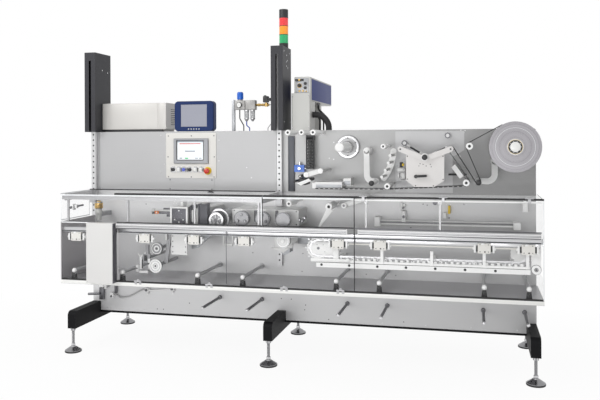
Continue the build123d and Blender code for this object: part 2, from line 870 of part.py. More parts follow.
# Film web: from the roll over the idlers, the dancer and the splice unit to the guide block
web_out = (190.0, 320.0)
web_thick = 0.8
web_gap = 0.05
web_end_x = 1770.0
roll_clearance = 0.25
web_rollers = (
    (roll_x, roll_z, roll_radius + roll_clearance, -1),
    (*roller_places[3], -1),
    (*dancers[0][2], tip_shaft_radius, 1),
    (*splice_arm_tips[1], tip_radius, -1),
    (*roller_places[4], 1),
    (*roller_places[6], 1),
)


def web_spot(roller, heading):
    """Where the film that runs in a heading touches a roller; +1 has its contact left of the travel."""
    x, z, radius, contact = roller
    reach = contact * (radius + web_gap + web_thick / 2)
    return (x - reach * sin(heading), z + reach * cos(heading))


def web_heading(first, second):
    """The heading of the straight run between two rollers, in radians."""
    shift = (second[0] - first[0], second[1] - first[1])
    first_reach = first[3] * (first[2] + web_gap + web_thick / 2)
    second_reach = second[3] * (second[2] + web_gap + web_thick / 2)
    return atan2(shift[1], shift[0]) - asin((first_reach - second_reach) / hypot(*shift))


web_headings = [web_heading(a, b) for a, b in zip(web_rollers, web_rollers[1:])]
web_headings.append(-pi)
with BuildPart() as film_web:
    with BuildSketch(face(web_out[0])):
        with BuildLine():
            for index in range(len(web_rollers) - 1):
                Line(
                    web_spot(web_rollers[index], web_headings[index]),
                    web_spot(web_rollers[index + 1], web_headings[index]),
                )
            for index in range(1, len(web_rollers)):
                roller = web_rollers[index]
                begin = web_headings[index - 1]
                turn = (web_headings[index] - begin) % (2 * pi)
                if roller[3] > 0:
                    turn -= 2 * pi
                ThreePointArc(
                    web_spot(roller, begin),
                    web_spot(roller, begin + turn / 2),
                    web_spot(roller, begin + turn),
                )
            last_spot = web_spot(web_rollers[-1], web_headings[-1])
            Line(last_spot, (web_end_x, last_spot[1]))
        trace(line_width=web_thick)
    extrude(amount=size_of(web_out))
finish(film_web, "film_web")

# Guard tray with its folded lip, and the seal along its front edge
lip_out = (guard_out - tray_sheet, guard_out)
with BuildPart() as tray:
    block((guard_left, guard_right), (0, guard_out), (guard_bottom - tray_sheet, guard_bottom))
    block((guard_left, guard_right), lip_out, (guard_bottom - lip_height, guard_bottom))
finish(tray, "guard_tray")

seal_top = guard_bottom + seal_height
middle_left = hood_right + door_gap
with BuildPart() as seals:
    block(
        (guard_left + glass, guard_right - glass),
        (guard_out - seal_depth, guard_out),
        (guard_bottom, seal_top),
    )
    block(
        (middle_left, guard_right),
        (guard_out - seal_depth, guard_out),
        (guard_top, guard_top + seal_height / 2),
    )
finish(seals, "guard_seals")

# Tray supports: rods out of the wall, each with a ball end over a black block on the tray
support_xs = (103.0, 465.0, 1003.0, 1312.0, 1925.0, 2194.0, 2820.0, 3075.0)
support_z = 589.0
support_out = 430.0
support_radius = 9.0
ball_radius = 15.0
support_block = (26.0, 24.0)
with BuildPart() as supports:
    for support_x in support_xs:
        round_out(support_x, support_z, support_radius, (0, support_out))
        with Locations(at(support_x, support_out, support_z)):
            Sphere(ball_radius)
        block(
            (support_x - support_block[0] / 2, support_x + support_block[0] / 2),
            (support_out - support_block[1] / 2, support_out + support_block[1] / 2),
            (guard_bottom, support_z - ball_radius + 2),
        )
finish(supports, "tray_supports")

# Rods with round tips below the tray
rod_xs = (1000.0, 1312.0, 1920.0, 2192.0, 2818.0, 3076.0)
rod_z = 356.0
rod_out = 340.0
with BuildPart() as rods:
    for rod_x in rod_xs:
        round_out(rod_x, rod_z, support_radius, (0, rod_out))
        with Locations(at(rod_x, rod_out, rod_z)):
            Sphere(support_radius + 2)
finish(rods, "lower_wall_rods")

# Fixed cross rail behind the glass, and the clamp blocks that hang from it
cross_rail_top = cross_rail_bottom + cross_rail_height
rail_face = guard_out - glass - door_gap
rail_back = rail_face - cross_rail_depth
with BuildPart() as cross_rail:
    block(
        (guard_left + glass, guard_right - glass),
        (rail_back, rail_face),
        (cross_rail_bottom, cross_rail_top),
    )
finish(cross_rail, "front_cross_rail")

clamp_xs = (136.0, 640.0, 987.0, 1330.0, 1942.0, 2203.0, 2820.0, 3069.0)
clamp_width = 74.0
clamp_height = 62.0
knob_radius = 7.0
knob_length = 12.0
knob_back = 15.0
shaft_rod_radius = 5.0
with BuildPart() as clamps:
    reach = clamp_width / 2 + knob_length
    low = cross_rail_bottom - clamp_height
    knob_out = rail_back + knob_back
    knob_z = low + clamp_height / 2
    for clamp_x in clamp_xs:
        block(
            (clamp_x - clamp_width / 2, clamp_x + clamp_width / 2),
            (rail_back, rail_face),
            (low, cross_rail_bottom),
        )
        round_along((clamp_x - reach, clamp_x + reach), knob_out, knob_z, knob_radius)
    for left_clamp, right_clamp in zip(clamp_xs[4:], clamp_xs[5:]):
        round_along((left_clamp + reach, right_clamp - reach), knob_out, knob_z, shaft_rod_radius)
finish(clamps, "clamp_blocks")

# Fixed guard: side panes, the pane left of the cover box, the middle pane with the roof sheet
roof_bottom = guard_top - glass
front_pane = (guard_out - glass, guard_out)
box_x = (250.0, 443.0)
box_z = (527.0, 927.0)
cover_edge = 4.0
infeed_z = (650.0, 840.0)
infeed_out = (150.0, 445.0)
with BuildPart() as side_sheet:
    block(
        (guard_left, guard_left + glass),
        (rail_height + door_gap, guard_out),
        (guard_bottom, hood_bottom - door_gap),
    )
finish(side_sheet, "left_side_sheet")

with BuildPart() as fixed_panes:
    block((guard_left + glass, box_x[0]), front_pane, (seal_top, hood_bottom - door_gap))
    block((guard_right - glass, guard_right), (0, guard_out), (guard_bottom, roof_bottom))
    block((guard_right - glass - 1, guard_right + 1), infeed_out, infeed_z, mode=Mode.SUBTRACT)
    block((middle_left + column_half, guard_right), (0, guard_out), (roof_bottom, guard_top))
    block((middle_left, middle_left + column_half), (column_front + 20, guard_out), (roof_bottom, guard_top))
    block((middle_left, door_split_right - door_gap / 2), front_pane, (hood_bottom, roof_bottom))
    block(
        (rail_strip_width + 10, right_column_x - column_half - 5),
        (0, hood_rear - 12),
        (roof_bottom, guard_top),
    )
finish(fixed_panes, "fixed_guard_panes")

# Front cover box over the outfeed
with BuildPart() as cover_box:
    block(box_x, (guard_out, reach_front), box_z)
    fillet(cover_box.edges().filter_by(Axis.Z).group_by(Axis.Y)[0], cover_edge)
finish(cover_box, "front_cover_box")

# Lifting hood: carriages on the rails, arms through the column slots, frame and bent pane
arm_top = roof_bottom
arm_bottom = arm_top - arm_height
frame_out = (guard_out - glass - hood_rail, guard_out - glass)
carriage_out = (rail_height + running_gap, rail_height + running_gap + carriage_thick)
carriage_top = carriage_bottom + carriage_height
left_arm_x = guard_left + glass + 2
arm_jog_out = (82.0, 92.0)
arm_z = (arm_bottom, arm_top)
left_arm = (left_column_x - arm_thick / 2, left_column_x + arm_thick / 2)
right_arm = (right_column_x - arm_thick / 2, right_column_x + arm_thick / 2)
rail_low = arm_top - hood_rail - 6
post_depth_out = (frame_out[1] - 12, frame_out[1])
with BuildPart() as hood_frame:
    for rail_x in rail_centres:
        block(
            (rail_x - carriage_width / 2, rail_x + carriage_width / 2),
            carriage_out,
            (carriage_bottom, carriage_top),
        )
    block(left_arm, (carriage_out[1], arm_jog_out[1]), arm_z)
    block((left_arm[0], left_arm_x + arm_thick), arm_jog_out, arm_z)
    block((left_arm_x, left_arm_x + arm_thick), (arm_jog_out[0], frame_out[0]), arm_z)
    block(right_arm, (carriage_out[1], frame_out[0]), arm_z)
    block((left_arm_x, right_arm[1]), frame_out, (rail_low, rail_low + hood_rail))
    for post in hood_posts:
        block(
            (post - hood_post_width / 2, post + hood_post_width / 2),
            post_depth_out,
            (hood_bottom, rail_low),
        )
finish(hood_frame, "hood_frame")

with BuildPart() as hood_pane:
    block((guard_left, hood_right), front_pane, (hood_bottom, guard_top))
    block((guard_left, hood_right), (hood_rear, guard_out), (roof_bottom, guard_top))
    block((guard_left, guard_left + glass), (hood_rear, guard_out), (hood_bottom, guard_top))
finish(hood_pane, "hood_pane")

# Door hinges: two knuckles on the fixed side and one on the door, on one axis
axis_out = guard_out + hinge_radius + 1
fold_axis_z = seal_top + 2
lift_axis_z = guard_top + seal_height / 2 + 3
fold_hinge_xs = (600.0, 1100.0, 1600.0, 1960.0)
lift_hinge_xs = (2104.0, 2584.0, 3075.0)
leaf_thick = 3.0
leaf_out = (guard_out, guard_out + leaf_thick)
leaf_height = 9.0
leaf_lap = 3.0
lift_leaf_reach = 30.0
knuckle_step = hinge_length + hinge_gap


def knuckle(along, up):
    round_along((along - hinge_length / 2, along + hinge_length / 2), axis_out, up, hinge_radius)


def leaf(along, out, up):
    """A flat leaf as wide as one knuckle."""
    block((along - hinge_length / 2, along + hinge_length / 2), out, up)


with BuildPart() as fixed_knuckles:
    for shift in (-knuckle_step, knuckle_step):
        for hinge_x in fold_hinge_xs:
            along = hinge_x + shift
            knuckle(along, fold_axis_z)
            leaf(along, leaf_out, (guard_bottom - leaf_height, fold_axis_z - leaf_lap))
            leaf(along, (guard_out, axis_out), (fold_axis_z - hinge_radius, fold_axis_z - leaf_lap))
        for hinge_x in lift_hinge_xs:
            along = hinge_x + shift
            knuckle(along, lift_axis_z)
            leaf(along, (guard_out - lift_leaf_reach, axis_out), (guard_top + seal_height / 2, lift_axis_z))
finish(fixed_knuckles, "fixed_hinge_knuckles")

# Folding lower door: two panes on one handle bar
door_low = seal_top + door_gap
bar_top = handle_bar_bottom + handle_bar_height
bar_out = (guard_out, guard_out + handle_bar_depth)
bar_edge = 6.0
fold_bar_x = (456.0, 2002.0)
half_gap = 2.0
with BuildPart() as fold_panes:
    block((door_split_left + door_gap / 2, door_split_middle - half_gap), front_pane, (door_low, bar_top))
    block((door_split_middle + half_gap, door_split_right - door_gap / 2), front_pane, (door_low, bar_top))
finish(fold_panes, "fold_door_panes")

with BuildPart() as fold_bar:
    block(fold_bar_x, bar_out, (handle_bar_bottom, bar_top))
    fillet(fold_bar.edges().filter_by(Axis.X).group_by(Axis.Y)[0], bar_edge)
    for hinge_x in fold_hinge_xs:
        knuckle(hinge_x, fold_axis_z)
        leaf(hinge_x, leaf_out, (fold_axis_z, door_low + leaf_height))
        leaf(hinge_x, (guard_out, axis_out), (fold_axis_z, fold_axis_z + hinge_radius))
finish(fold_bar, "fold_door_hardware")

# Lifting right door: one full-height pane with handle bar and two stays
lift_door_x = (door_split_right + door_gap / 2, guard_right - glass - door_gap)
lift_pane_top = roof_bottom - door_gap
lift_bar_x = (2076.0, 3137.0)
stay_xs = (2119.0, 2564.0)
stay_width = 10.0
leaf_drop = 8.0
with BuildPart() as lift_pane:
    block(lift_door_x, front_pane, (door_low, lift_pane_top))
finish(lift_pane, "lift_door_pane")

with BuildPart() as lift_bar:
    block(lift_bar_x, bar_out, (handle_bar_bottom, bar_top))
    fillet(lift_bar.edges().filter_by(Axis.X).group_by(Axis.Y)[0], bar_edge)
    for hinge_x in lift_hinge_xs:
        knuckle(hinge_x, lift_axis_z)
        leaf(hinge_x, leaf_out, (lift_pane_top - leaf_height, lift_pane_top))
        leaf(hinge_x, (guard_out + leaf_thick - 1, axis_out), (lift_pane_top - leaf_drop, lift_axis_z))
    for stay_x in stay_xs:
        block(
            (stay_x - stay_width / 2, stay_x + stay_width / 2),
            (guard_out - glass - stay_width, guard_out - glass),
            (cross_rail_top + door_gap, lift_pane_top - 4),
        )
finish(lift_bar, "lift_door_hardware")

# Lug chain: two strips of links with rollers between them, around two toothed wheels
chain_pitch = 38.1
wheel_teeth = 8
chain_links_between = 32
wheel_x = 1800.0
wheel_z = 790.0
chain_out = 400.0
strip_thick = 3.0
strip_height = 12.0
strip_inner = 8.0
roller_radius = 6.0
pitch_radius = chain_pitch / (2 * sin(pi / wheel_teeth))
centre_distance = chain_pitch * chain_links_between
far_x = wheel_x + centre_distance
lug_height = 27.0
lug_thick = 8.0


def chain_joints():
    """The joints of the chain in order, with the direction that points out of the loop."""
    joints = []
    for index in range(chain_links_between):
        joints.append((wheel_x + index * chain_pitch, wheel_z + pitch_radius, 90.0))
    for index in range(wheel_teeth // 2):
        angle = 90.0 - index * 360.0 / wheel_teeth
        joints.append(
            (
                far_x + pitch_radius * cos(radians(angle)),
                wheel_z + pitch_radius * sin(radians(angle)),
                angle,
            )
        )
    for index in range(chain_links_between):
        joints.append((far_x - index * chain_pitch, wheel_z - pitch_radius, -90.0))
    for index in range(wheel_teeth // 2):
        angle = -90.0 - index * 360.0 / wheel_teeth
        joints.append(
            (
                wheel_x + pitch_radius * cos(radians(angle)),
                wheel_z + pitch_radius * sin(radians(angle)),
                angle,
            )
        )
    return joints


loop_joints = chain_joints()
loop_corners = [(x, z) for x, z, angle in loop_joints]
lug_centre = strip_height / 2 + lug_height / 2 - 1
with BuildPart() as lug_chain:
    for strip_out in (chain_out - strip_inner / 2 - strip_thick, chain_out + strip_inner / 2):
        with BuildSketch(face(strip_out)):
            with BuildLine():
                Polyline(*loop_corners, close=True)
            make_face()
            offset(amount=strip_height / 2, kind=Kind.INTERSECTION)
            with BuildLine():
                Polyline(*loop_corners, close=True)
            inner_loop = offset(
                make_face(mode=Mode.PRIVATE),
                amount=-strip_height / 2,
                mode=Mode.PRIVATE,
                kind=Kind.INTERSECTION,
            )
            add(inner_loop, mode=Mode.SUBTRACT)
        extrude(amount=strip_thick)
    for x, z, angle in loop_joints:
        round_out(x, z, roller_radius, (chain_out - strip_inner / 2, chain_out + strip_inner / 2))
    for x, z, angle in loop_joints:
        lug_x = x + cos(radians(angle)) * lug_centre
        lug_z = z + sin(radians(angle)) * lug_centre
        with Locations(Location(at(lug_x, chain_out, lug_z), (0, 90 - angle, 0))):
            Box(lug_thick, strip_inner + 2 * strip_thick, lug_height)
finish(lug_chain, "lug_chain")

tooth_gap = 1.0
tooth_width = strip_inner - 2 * tooth_gap
roller_gap = 0.2
wheel_shaft = 16.0
end_plate_out = 415.0
with BuildPart() as wheels:
    for centre_x in (wheel_x, far_x):
        with BuildSketch(face(chain_out - tooth_width / 2)):
            with Locations((centre_x, wheel_z)):
                Circle(pitch_radius - 0.5)
                with PolarLocations(pitch_radius, wheel_teeth, start_angle=90):
                    Circle(roller_radius + roller_gap, mode=Mode.SUBTRACT)
        extrude(amount=tooth_width)
    round_out(wheel_x, wheel_z, wheel_shaft, (0, chain_out + 15))
    round_out(far_x, wheel_z, wheel_shaft, (0, end_plate_out - running_gap))
finish(wheels, "chain_wheels")

# Infeed bars under the chain, hung from the wall, with the end plate at the right
top_bar_x = (2016.0, 3080.0)
top_bar_out = (415.0, 441.0)
top_bar_z = (708.0, 722.0)
side_bar_x = (1800.0, 3082.0)
side_bar_out = (425.0, 441.0)
side_bar_z = (676.0, 706.0)
strap_xs = (2213.0, 2513.0, 2820.0, 3066.0)
strap_half = 9.0
strap_out = (441.0, 446.0)
strap_top = cross_rail_bottom - clamp_height
side_hole_count = 7
side_hole_z = 692.0
hole_start = 1834.0
hole_pitch = 175.0
hole_radius = 5.0
bracket_xs = (1900.0, 2500.0, 3000.0)
bracket_half = 15.0
bracket_z = (680.0, 702.0)
end_plate_x = 3115.0
end_plate_z = 770.0
end_bearing_z = 705.0
with BuildPart() as top_bar:
    block(top_bar_x, top_bar_out, top_bar_z)
    for strap_x in strap_xs:
        strap = (strap_x - strap_half, strap_x + strap_half)
        block(strap, strap_out, (top_bar_z[0], strap_top))
        block(strap, (rail_back, strap_out[1]), (strap_top - 8, strap_top))
    block(side_bar_x, side_bar_out, side_bar_z)
    for index in range(side_hole_count):
        round_out(
            hole_start + index * hole_pitch,
            side_hole_z,
            hole_radius,
            (side_bar_out[0] - 1, side_bar_out[1] + 1),
            mode=Mode.SUBTRACT,
        )
    for bracket_x in bracket_xs:
        block((bracket_x - bracket_half, bracket_x + bracket_half), (0, side_bar_out[0]), bracket_z)
    with BuildSketch(face(end_plate_out)):
        with Locations((end_plate_x, end_plate_z)):
            SlotCenterToCenter(110.0, 56.0, rotation=90)
    extrude(amount=14)
    round_out(end_plate_x, end_bearing_z, 14.0, (0, end_plate_out))
finish(top_bar, "infeed_rails")

# Sealing heads: housing on the wall with shafts and discs
head_x = (1181.0, 1640.0)
head_z = (905.0, 1012.0)
head_out = 250.0
disc_places = ((1281.0, 958.0, 52.0), (1424.0, 958.0, 50.0), (1562.0, 955.0, 50.0))
head_corner = 8.0
disc_shaft_radius = 20.0
disc_out = (330.0, 360.0)
stud_ring = 30.0
stud_radius = 8.0
stud_length = 8.0
cutter_x = 1107.0
cutter_z = 946.0
cutter_steps = ((52.0, (0, 300)), (40.0, (300, 360)), (14.0, (360, 375)))
rail_pocket = rail_width / 2 + door_gap
with BuildPart() as head_housing:
    block(head_x, (0, head_out), head_z)
    fillet(head_housing.edges().filter_by(Axis.Y), head_corner)
    block(
        (rail_centres[1] - rail_pocket, rail_centres[1] + rail_pocket),
        (0, rail_height + door_gap),
        head_z,
        mode=Mode.SUBTRACT,
    )
finish(head_housing, "sealing_head_housing")

with BuildPart() as discs:
    for disc_x, disc_z, disc_radius in disc_places:
        round_out(disc_x, disc_z, disc_shaft_radius, (head_out, disc_out[0]))
        round_out(disc_x, disc_z, disc_radius, disc_out)
    for angle in (90, 210, 330):
        round_out(
            disc_places[0][0] + stud_ring * cos(radians(angle)),
            disc_places[0][1] + stud_ring * sin(radians(angle)),
            stud_radius,
            (disc_out[1], disc_out[1] + stud_length),
        )
    for step_radius, step_out in cutter_steps:
        round_out(cutter_x, cutter_z, step_radius, step_out)
finish(discs, "rotary_heads")

# Feeding unit left of the heads: dark boxes and the bolted bracket
press_window = ((830.0, 895.0), (399, 401), (940.0, 1010.0))
press_boxes = (
    ((930.0, 1030.0), (0, 360), (905.0, 1020.0)),
    ((805.0, 918.0), (388, 400), (715.0, 900.0)),
    ((818.0, 905.0), (0, 388), (780.0, 895.0)),
)
press_rod_out = 340.0
press_rod_z = 1000.0
press_rods = (((660.0, 805.0), 9.0), ((640.0, 660.0), 14.0))
with BuildPart() as press_block:
    block((805.0, 919.0), (0, 400), (920.0, 1032.0))
    block(*press_window, mode=Mode.SUBTRACT)
    for box_along, box_out, box_up in press_boxes:
        block(box_along, box_out, box_up)
    for rod_along, rod_radius in press_rods:
        round_along(rod_along, press_rod_out, press_rod_z, rod_radius)
finish(press_block, "press_units")

# Discharge: two wheels, their curved plate and links, and the upright device at the outfeed
discharge_wheels = ((676.0, 743.0), (668.0, 625.0))
discharge_shaft_radius = 12.0
discharge_wheel_radius = 40.0
discharge_wheel_out = (330.0, 352.0)
swing_plate_line = ((752.0, 850.0), (740.0, 740.0), (725.0, 640.0))
swing_plate_out = 300.0
link_out = (300.0, 320.0)
device_x = 132.0
device_out = 150.0
with BuildPart() as discharge:
    for wheel_place in discharge_wheels:
        round_out(wheel_place[0], wheel_place[1], discharge_shaft_radius, (0, discharge_wheel_out[0]))
        round_out(wheel_place[0], wheel_place[1], discharge_wheel_radius, discharge_wheel_out)
    with BuildSketch(face(swing_plate_out)):
        with BuildLine():
            ThreePointArc(*swing_plate_line)
        trace(line_width=26)
    extrude(amount=14)
    round_out(744.0, 800.0, discharge_shaft_radius, (0, swing_plate_out))
    block((560.0, 610.0), link_out, (640.0, 700.0))
    block((580.0, 600.0), link_out, (700.0, 760.0))
    round_out(590.0, 672.0, 10.0, (0, link_out[0]))
    round_up(device_x, device_out, (905.0, 985.0), 20.0)
    round_up(device_x, device_out, (985.0, 1035.0), 26.0)
    block((device_x - 20, device_x + 20), (0, device_out), (930.0, 960.0))
finish(discharge, "discharge_unit")

# Drive motor of the chain, end-on
motor_x = 1578.0
motor_z = 830.0
motor_radius = 46.0
gearbox_x = (1535.0, 1700.0)
gearbox_z = (785.0, 875.0)
gearbox_depth = 200.0
motor_end = 420.0
with BuildPart() as motor:
    round_out(motor_x, motor_z, motor_radius, (gearbox_depth, motor_end))
    block(gearbox_x, (0, gearbox_depth), gearbox_z)
finish(motor, "chain_drive_motor")
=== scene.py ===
import bmesh
import bpy
from math import cos, pi, radians, sin, tan
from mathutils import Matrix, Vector


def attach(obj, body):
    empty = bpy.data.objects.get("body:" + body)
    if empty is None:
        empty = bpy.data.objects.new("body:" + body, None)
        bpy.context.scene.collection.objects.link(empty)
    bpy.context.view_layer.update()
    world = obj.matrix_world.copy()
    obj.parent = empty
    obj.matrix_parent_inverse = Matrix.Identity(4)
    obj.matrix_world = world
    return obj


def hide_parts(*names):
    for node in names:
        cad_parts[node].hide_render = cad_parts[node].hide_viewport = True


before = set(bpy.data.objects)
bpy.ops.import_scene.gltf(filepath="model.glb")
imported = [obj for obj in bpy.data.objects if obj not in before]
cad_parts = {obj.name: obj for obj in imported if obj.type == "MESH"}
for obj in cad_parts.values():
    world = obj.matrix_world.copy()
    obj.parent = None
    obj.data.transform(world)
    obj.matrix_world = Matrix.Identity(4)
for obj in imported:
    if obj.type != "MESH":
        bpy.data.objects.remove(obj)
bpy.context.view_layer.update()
scene = bpy.context.scene

# Places on the machine, in millimetres: along from the wall's left edge, out of its face, up from the floor
WALL_LEFT = -1.575
WALL_FACE = -0.125
REEL = (3006, 1424)


def at(along, out, up):
    return Vector((WALL_LEFT + along / 1000, WALL_FACE - out / 1000, up / 1000))


# Camera at the photograph's place: level, turned to the left, with the horizon above the middle
camera_data = bpy.data.cameras.new("camera")
camera_data.lens = 42.884
camera_data.sensor_width = 36.0
camera_data.shift_y = -0.0965
camera_data.clip_end = 100.0
camera = bpy.data.objects.new("camera", camera_data)
camera.location = (1.18969, -4.94191, 1.45865)
camera.rotation_euler = (radians(90), radians(0.25), radians(13.689))
scene.collection.objects.link(camera)
scene.camera = camera
scene.view_settings.view_transform = "Standard"


# Materials
CLOUD = 2.3
ROUGH_SPREAD = 0.05
COAT_ROUGH = 0.12
NOISE_SPAN = (0.3, 0.7)


def shade(colour, factor):
    return tuple(min(1.0, c * factor) for c in colour[:3])


class Graph:
    """The node tree of a material or a world. Its places are in the machine's frame, in metres."""

    def __init__(self, owner):
        owner.use_nodes = True
        self.owner = owner
        self.nodes = owner.node_tree.nodes
        self.links = owner.node_tree.links

    def put(self, node, inputs):
        """Sets a node's inputs, by name or number, to values or to outputs of other nodes."""
        for key, value in inputs.items():
            if isinstance(value, bpy.types.NodeSocket):
                self.links.new(value, node.inputs[key])
            else:
                node.inputs[key].default_value = value

    def add(self, kind, inputs, output=0, **settings):
        """A new node with its settings and inputs; gives one of its outputs."""
        node = self.nodes.new("ShaderNode" + kind)
        for name, value in settings.items():
            setattr(node, name, value)
        self.put(node, inputs)
        return node.outputs[output]

    def math(self, operation, first, second=0.0):
        return self.add("Math", {0: first, 1: second}, operation=operation)

    def mix(self, first, share, second, other_share):
        return self.math("ADD", self.math("MULTIPLY", first, share),
                         self.math("MULTIPLY", second, other_share))

    def span(self, value, low, high, ends=NOISE_SPAN):
        """A value from between two ends, brought to between low and high."""
        return self.add("MapRange", {"Value": value, "From Min": ends[0], "From Max": ends[1],
                                     "To Min": low, "To Max": high}, "Result")

    def ramp(self, value, stops):
        node = self.nodes.new("ShaderNodeValToRGB")
        while len(node.color_ramp.elements) < len(stops):
            node.color_ramp.elements.new(0.5)
        for element, (position, colour) in zip(node.color_ramp.elements, stops):
            element.position = position
            element.color = (*colour, 1.0)
        self.put(node, {"Fac": value})
        return node.outputs["Color"]


class Finish(Graph):
    def __init__(self, name):
        super().__init__(bpy.data.materials.new(name))
        self.shader = self.nodes["Principled BSDF"]
        self.place = self.add("TexCoord", {}, "Object")

    def mapped(self, scale, source=None):
        return self.add("Mapping", {"Scale": scale, "Vector": source or self.place}, "Vector")

    def noise(self, scale, detail=3.0):
        return self.add("TexNoise", {"Scale": 1.0, "Detail": detail, "Vector": self.mapped(scale)}, "Fac")

    def tones(self, value, colour, low, high):
        """A colour that a noise takes from low to high times its tone."""
        return self.ramp(value, ((NOISE_SPAN[0], shade(colour, low)), (NOISE_SPAN[1], shade(colour, high))))

    def bump(self, height, strength, depth):
        return self.add("Bump", {"Strength": strength, "Distance": depth, "Height": height}, "Normal")

    def dress(self, inputs):
        """Sets the shader and gives the material."""
        self.put(self.shader, inputs)
        return self.owner


def surface(name, base, rough, metallic=0.0, grain=260, spread=0.05, relief=0.08, depth=0.0001,
            coat=0.0, painted_shade_fade=1.0, gloss=0.5):
    """A finish with fine grain, wide cloudy variation, and both in its roughness. Its grain has one
    number, or one for each direction. Its tone changes by the factor painted_shade_fade from the left
    end of the wall to the right end, as painted shade and painted reflection."""
    finish = Finish(name)
    fine = finish.noise(grain if isinstance(grain, tuple) else (grain, grain, grain))
    both = finish.mix(fine, 0.5, finish.noise((CLOUD, CLOUD, CLOUD), 2.0), 0.5)
    tone = finish.tones(both, base, 1 - spread, 1 + spread)
    # Painted shade and painted reflection: the tone darkens from the left end of the wall to the right end
    if painted_shade_fade != 1.0:
        along = finish.add("SeparateXYZ", {"Vector": finish.place}, "X")
        reach = finish.span(along, 1.0, painted_shade_fade, (WALL_LEFT, -WALL_LEFT))
        tone = finish.add("VectorMath", {0: tone, "Scale": reach}, "Vector", operation="SCALE")
    return finish.dress({
        "Base Color": tone, "Roughness": finish.span(both, rough - ROUGH_SPREAD, rough + ROUGH_SPREAD),
        "Metallic": metallic, "Coat Weight": coat, "Coat Roughness": COAT_ROUGH,
        "Specular IOR Level": gloss, "Normal": finish.bump(fine, relief, depth)})


# Grain of sheet brushed along the machine: fine upwards and long in the other directions
BRUSHED = (5, 5, 900)
# The wall sheets are one brushed steel; their different tones and fades are painted shade and painted
# reflection, darker to the right
wall_steel = surface("wall_steel", (0.46, 0.46, 0.465), 0.42, 0.5, BRUSHED, 0.035, 0.05, painted_shade_fade=0.8)
film_wall = surface("film_wall_steel", (0.60, 0.60, 0.60), 0.42, 0.5, BRUSHED, 0.035, 0.05, painted_shade_fade=0.42)
lower_steel = surface("lower_wall_steel", (0.68, 0.68, 0.685), 0.42, 0.5, BRUSHED, 0.035, 0.05, painted_shade_fade=0.66)
cabinet_steel = surface("cabinet_steel", (0.55, 0.555, 0.56), 0.4, 0.6, BRUSHED, 0.05, 0.06)
anthracite = surface("anthracite", (0.040, 0.040, 0.046), 0.46, 0.0, 900, 0.12, 0.25, 0.0002, gloss=0.3)
beam_black = surface("beam_black", (0.006, 0.006, 0.007), 0.55, 0.0, 800, 0.2, 0.3, 0.0002, gloss=0.12)
cream_paint = surface("cream_paint", (0.74, 0.725, 0.69), 0.42, 0.0, 700, 0.03, 0.15)
box_paint = surface("box_paint", (0.64, 0.625, 0.60), 0.4, 0.1, 700, 0.03, 0.15)
cover_paint = surface("cover_paint", (0.66, 0.655, 0.645), 0.38, 0.25, BRUSHED, 0.03, 0.05)
shield_paint = surface("shield_paint", (0.60, 0.585, 0.575), 0.4, 0.15, 700, 0.03, 0.1)
rail_grey = surface("rail_grey", (0.60, 0.60, 0.605), 0.4, 0.5, (4, 4, 600), 0.04, 0.06)
splice_steel = surface("splice_steel", (0.43, 0.43, 0.435), 0.4, 0.5, BRUSHED, 0.035, 0.05)
channel_grey = surface("channel_grey", (0.10, 0.105, 0.12), 0.42, 0.3, (5, 5, 600), 0.06, 0.08)
device_grey = surface("device_grey", (0.40, 0.39, 0.38), 0.4, 0.2, 500, 0.05, 0.1)
bar_grey = surface("bar_grey", (0.44, 0.44, 0.45), 0.34, 0.5, (4, 600, 600), 0.04, 0.06)
tray_grey = surface("tray_grey", (0.42, 0.415, 0.43), 0.34, 0.4, (4, 600, 600), 0.04, 0.06)
disc_grey = surface("disc_grey", (0.30, 0.30, 0.31), 0.34, 0.5, (420, 60, 420), 0.08, 0.1)
light_cast = surface("light_cast", (0.60, 0.60, 0.595), 0.42, 0.35, 320, 0.06, 0.2, 0.0003)
white_plastic = surface("white_plastic", (0.86, 0.86, 0.855), 0.36, 0.0, 500, 0.03, 0.1)
machined = surface("machined", (0.62, 0.62, 0.63), 0.3, 0.85, (420, 60, 420), 0.08, 0.1)
polished = surface("polished_steel", (0.72, 0.72, 0.73), 0.14, 1.0, (120, 120, 500), 0.05, 0.05)
foot_steel = surface("foot_steel", (0.30, 0.30, 0.31), 0.2, 1.0, (120, 120, 500), 0.08, 0.05)
dark_steel = surface("dark_steel", (0.14, 0.14, 0.15), 0.35, 0.7, 300, 0.15, 0.1)
black_plastic = surface("black_plastic", (0.022, 0.022, 0.024), 0.42, 0.0, 600, 0.2, 0.2, 0.0002)
black_rubber = surface("black_rubber", (0.016, 0.016, 0.017), 0.62, 0.0, 350, 0.3, 0.3, 0.0003)
chain_black = surface("chain_black", (0.045, 0.045, 0.048), 0.5, 0.0, 500, 0.2, 0.2, 0.0002)
navy_plastic = surface("navy_plastic", (0.012, 0.030, 0.115), 0.45, 0.0, 600, 0.1, 0.12, gloss=0.2)
laser_blue = surface("laser_blue", (0.075, 0.095, 0.26), 0.5, 0.0, 700, 0.06, 0.12, gloss=0.15)
laser_grey = surface("laser_grey", (0.52, 0.52, 0.50), 0.4, 0.15, 700, 0.04, 0.15)
valve_blue = surface("valve_blue", (0.012, 0.135, 0.62), 0.34, 0.0, 600, 0.06, 0.1, coat=0.2)
brass = surface("brass", (0.62, 0.42, 0.16), 0.28, 1.0, 300, 0.08, 0.1)
panel_grey = surface("panel_grey", (0.42, 0.43, 0.45), 0.36, 0.4, BRUSHED, 0.04, 0.06)
frame_silver = surface("frame_silver", (0.30, 0.305, 0.32), 0.35, 0.5, 700, 0.05, 0.1)
button_white = surface("button_white", (0.82, 0.82, 0.80), 0.3, 0.0, 500, 0.02, 0.05, coat=0.3)
button_blue = surface("button_blue", (0.10, 0.14, 0.62), 0.3, 0.0, 500, 0.04, 0.05, coat=0.3)
stop_red = surface("stop_red", (0.62, 0.030, 0.012), 0.28, 0.0, 500, 0.05, 0.06, coat=0.4)
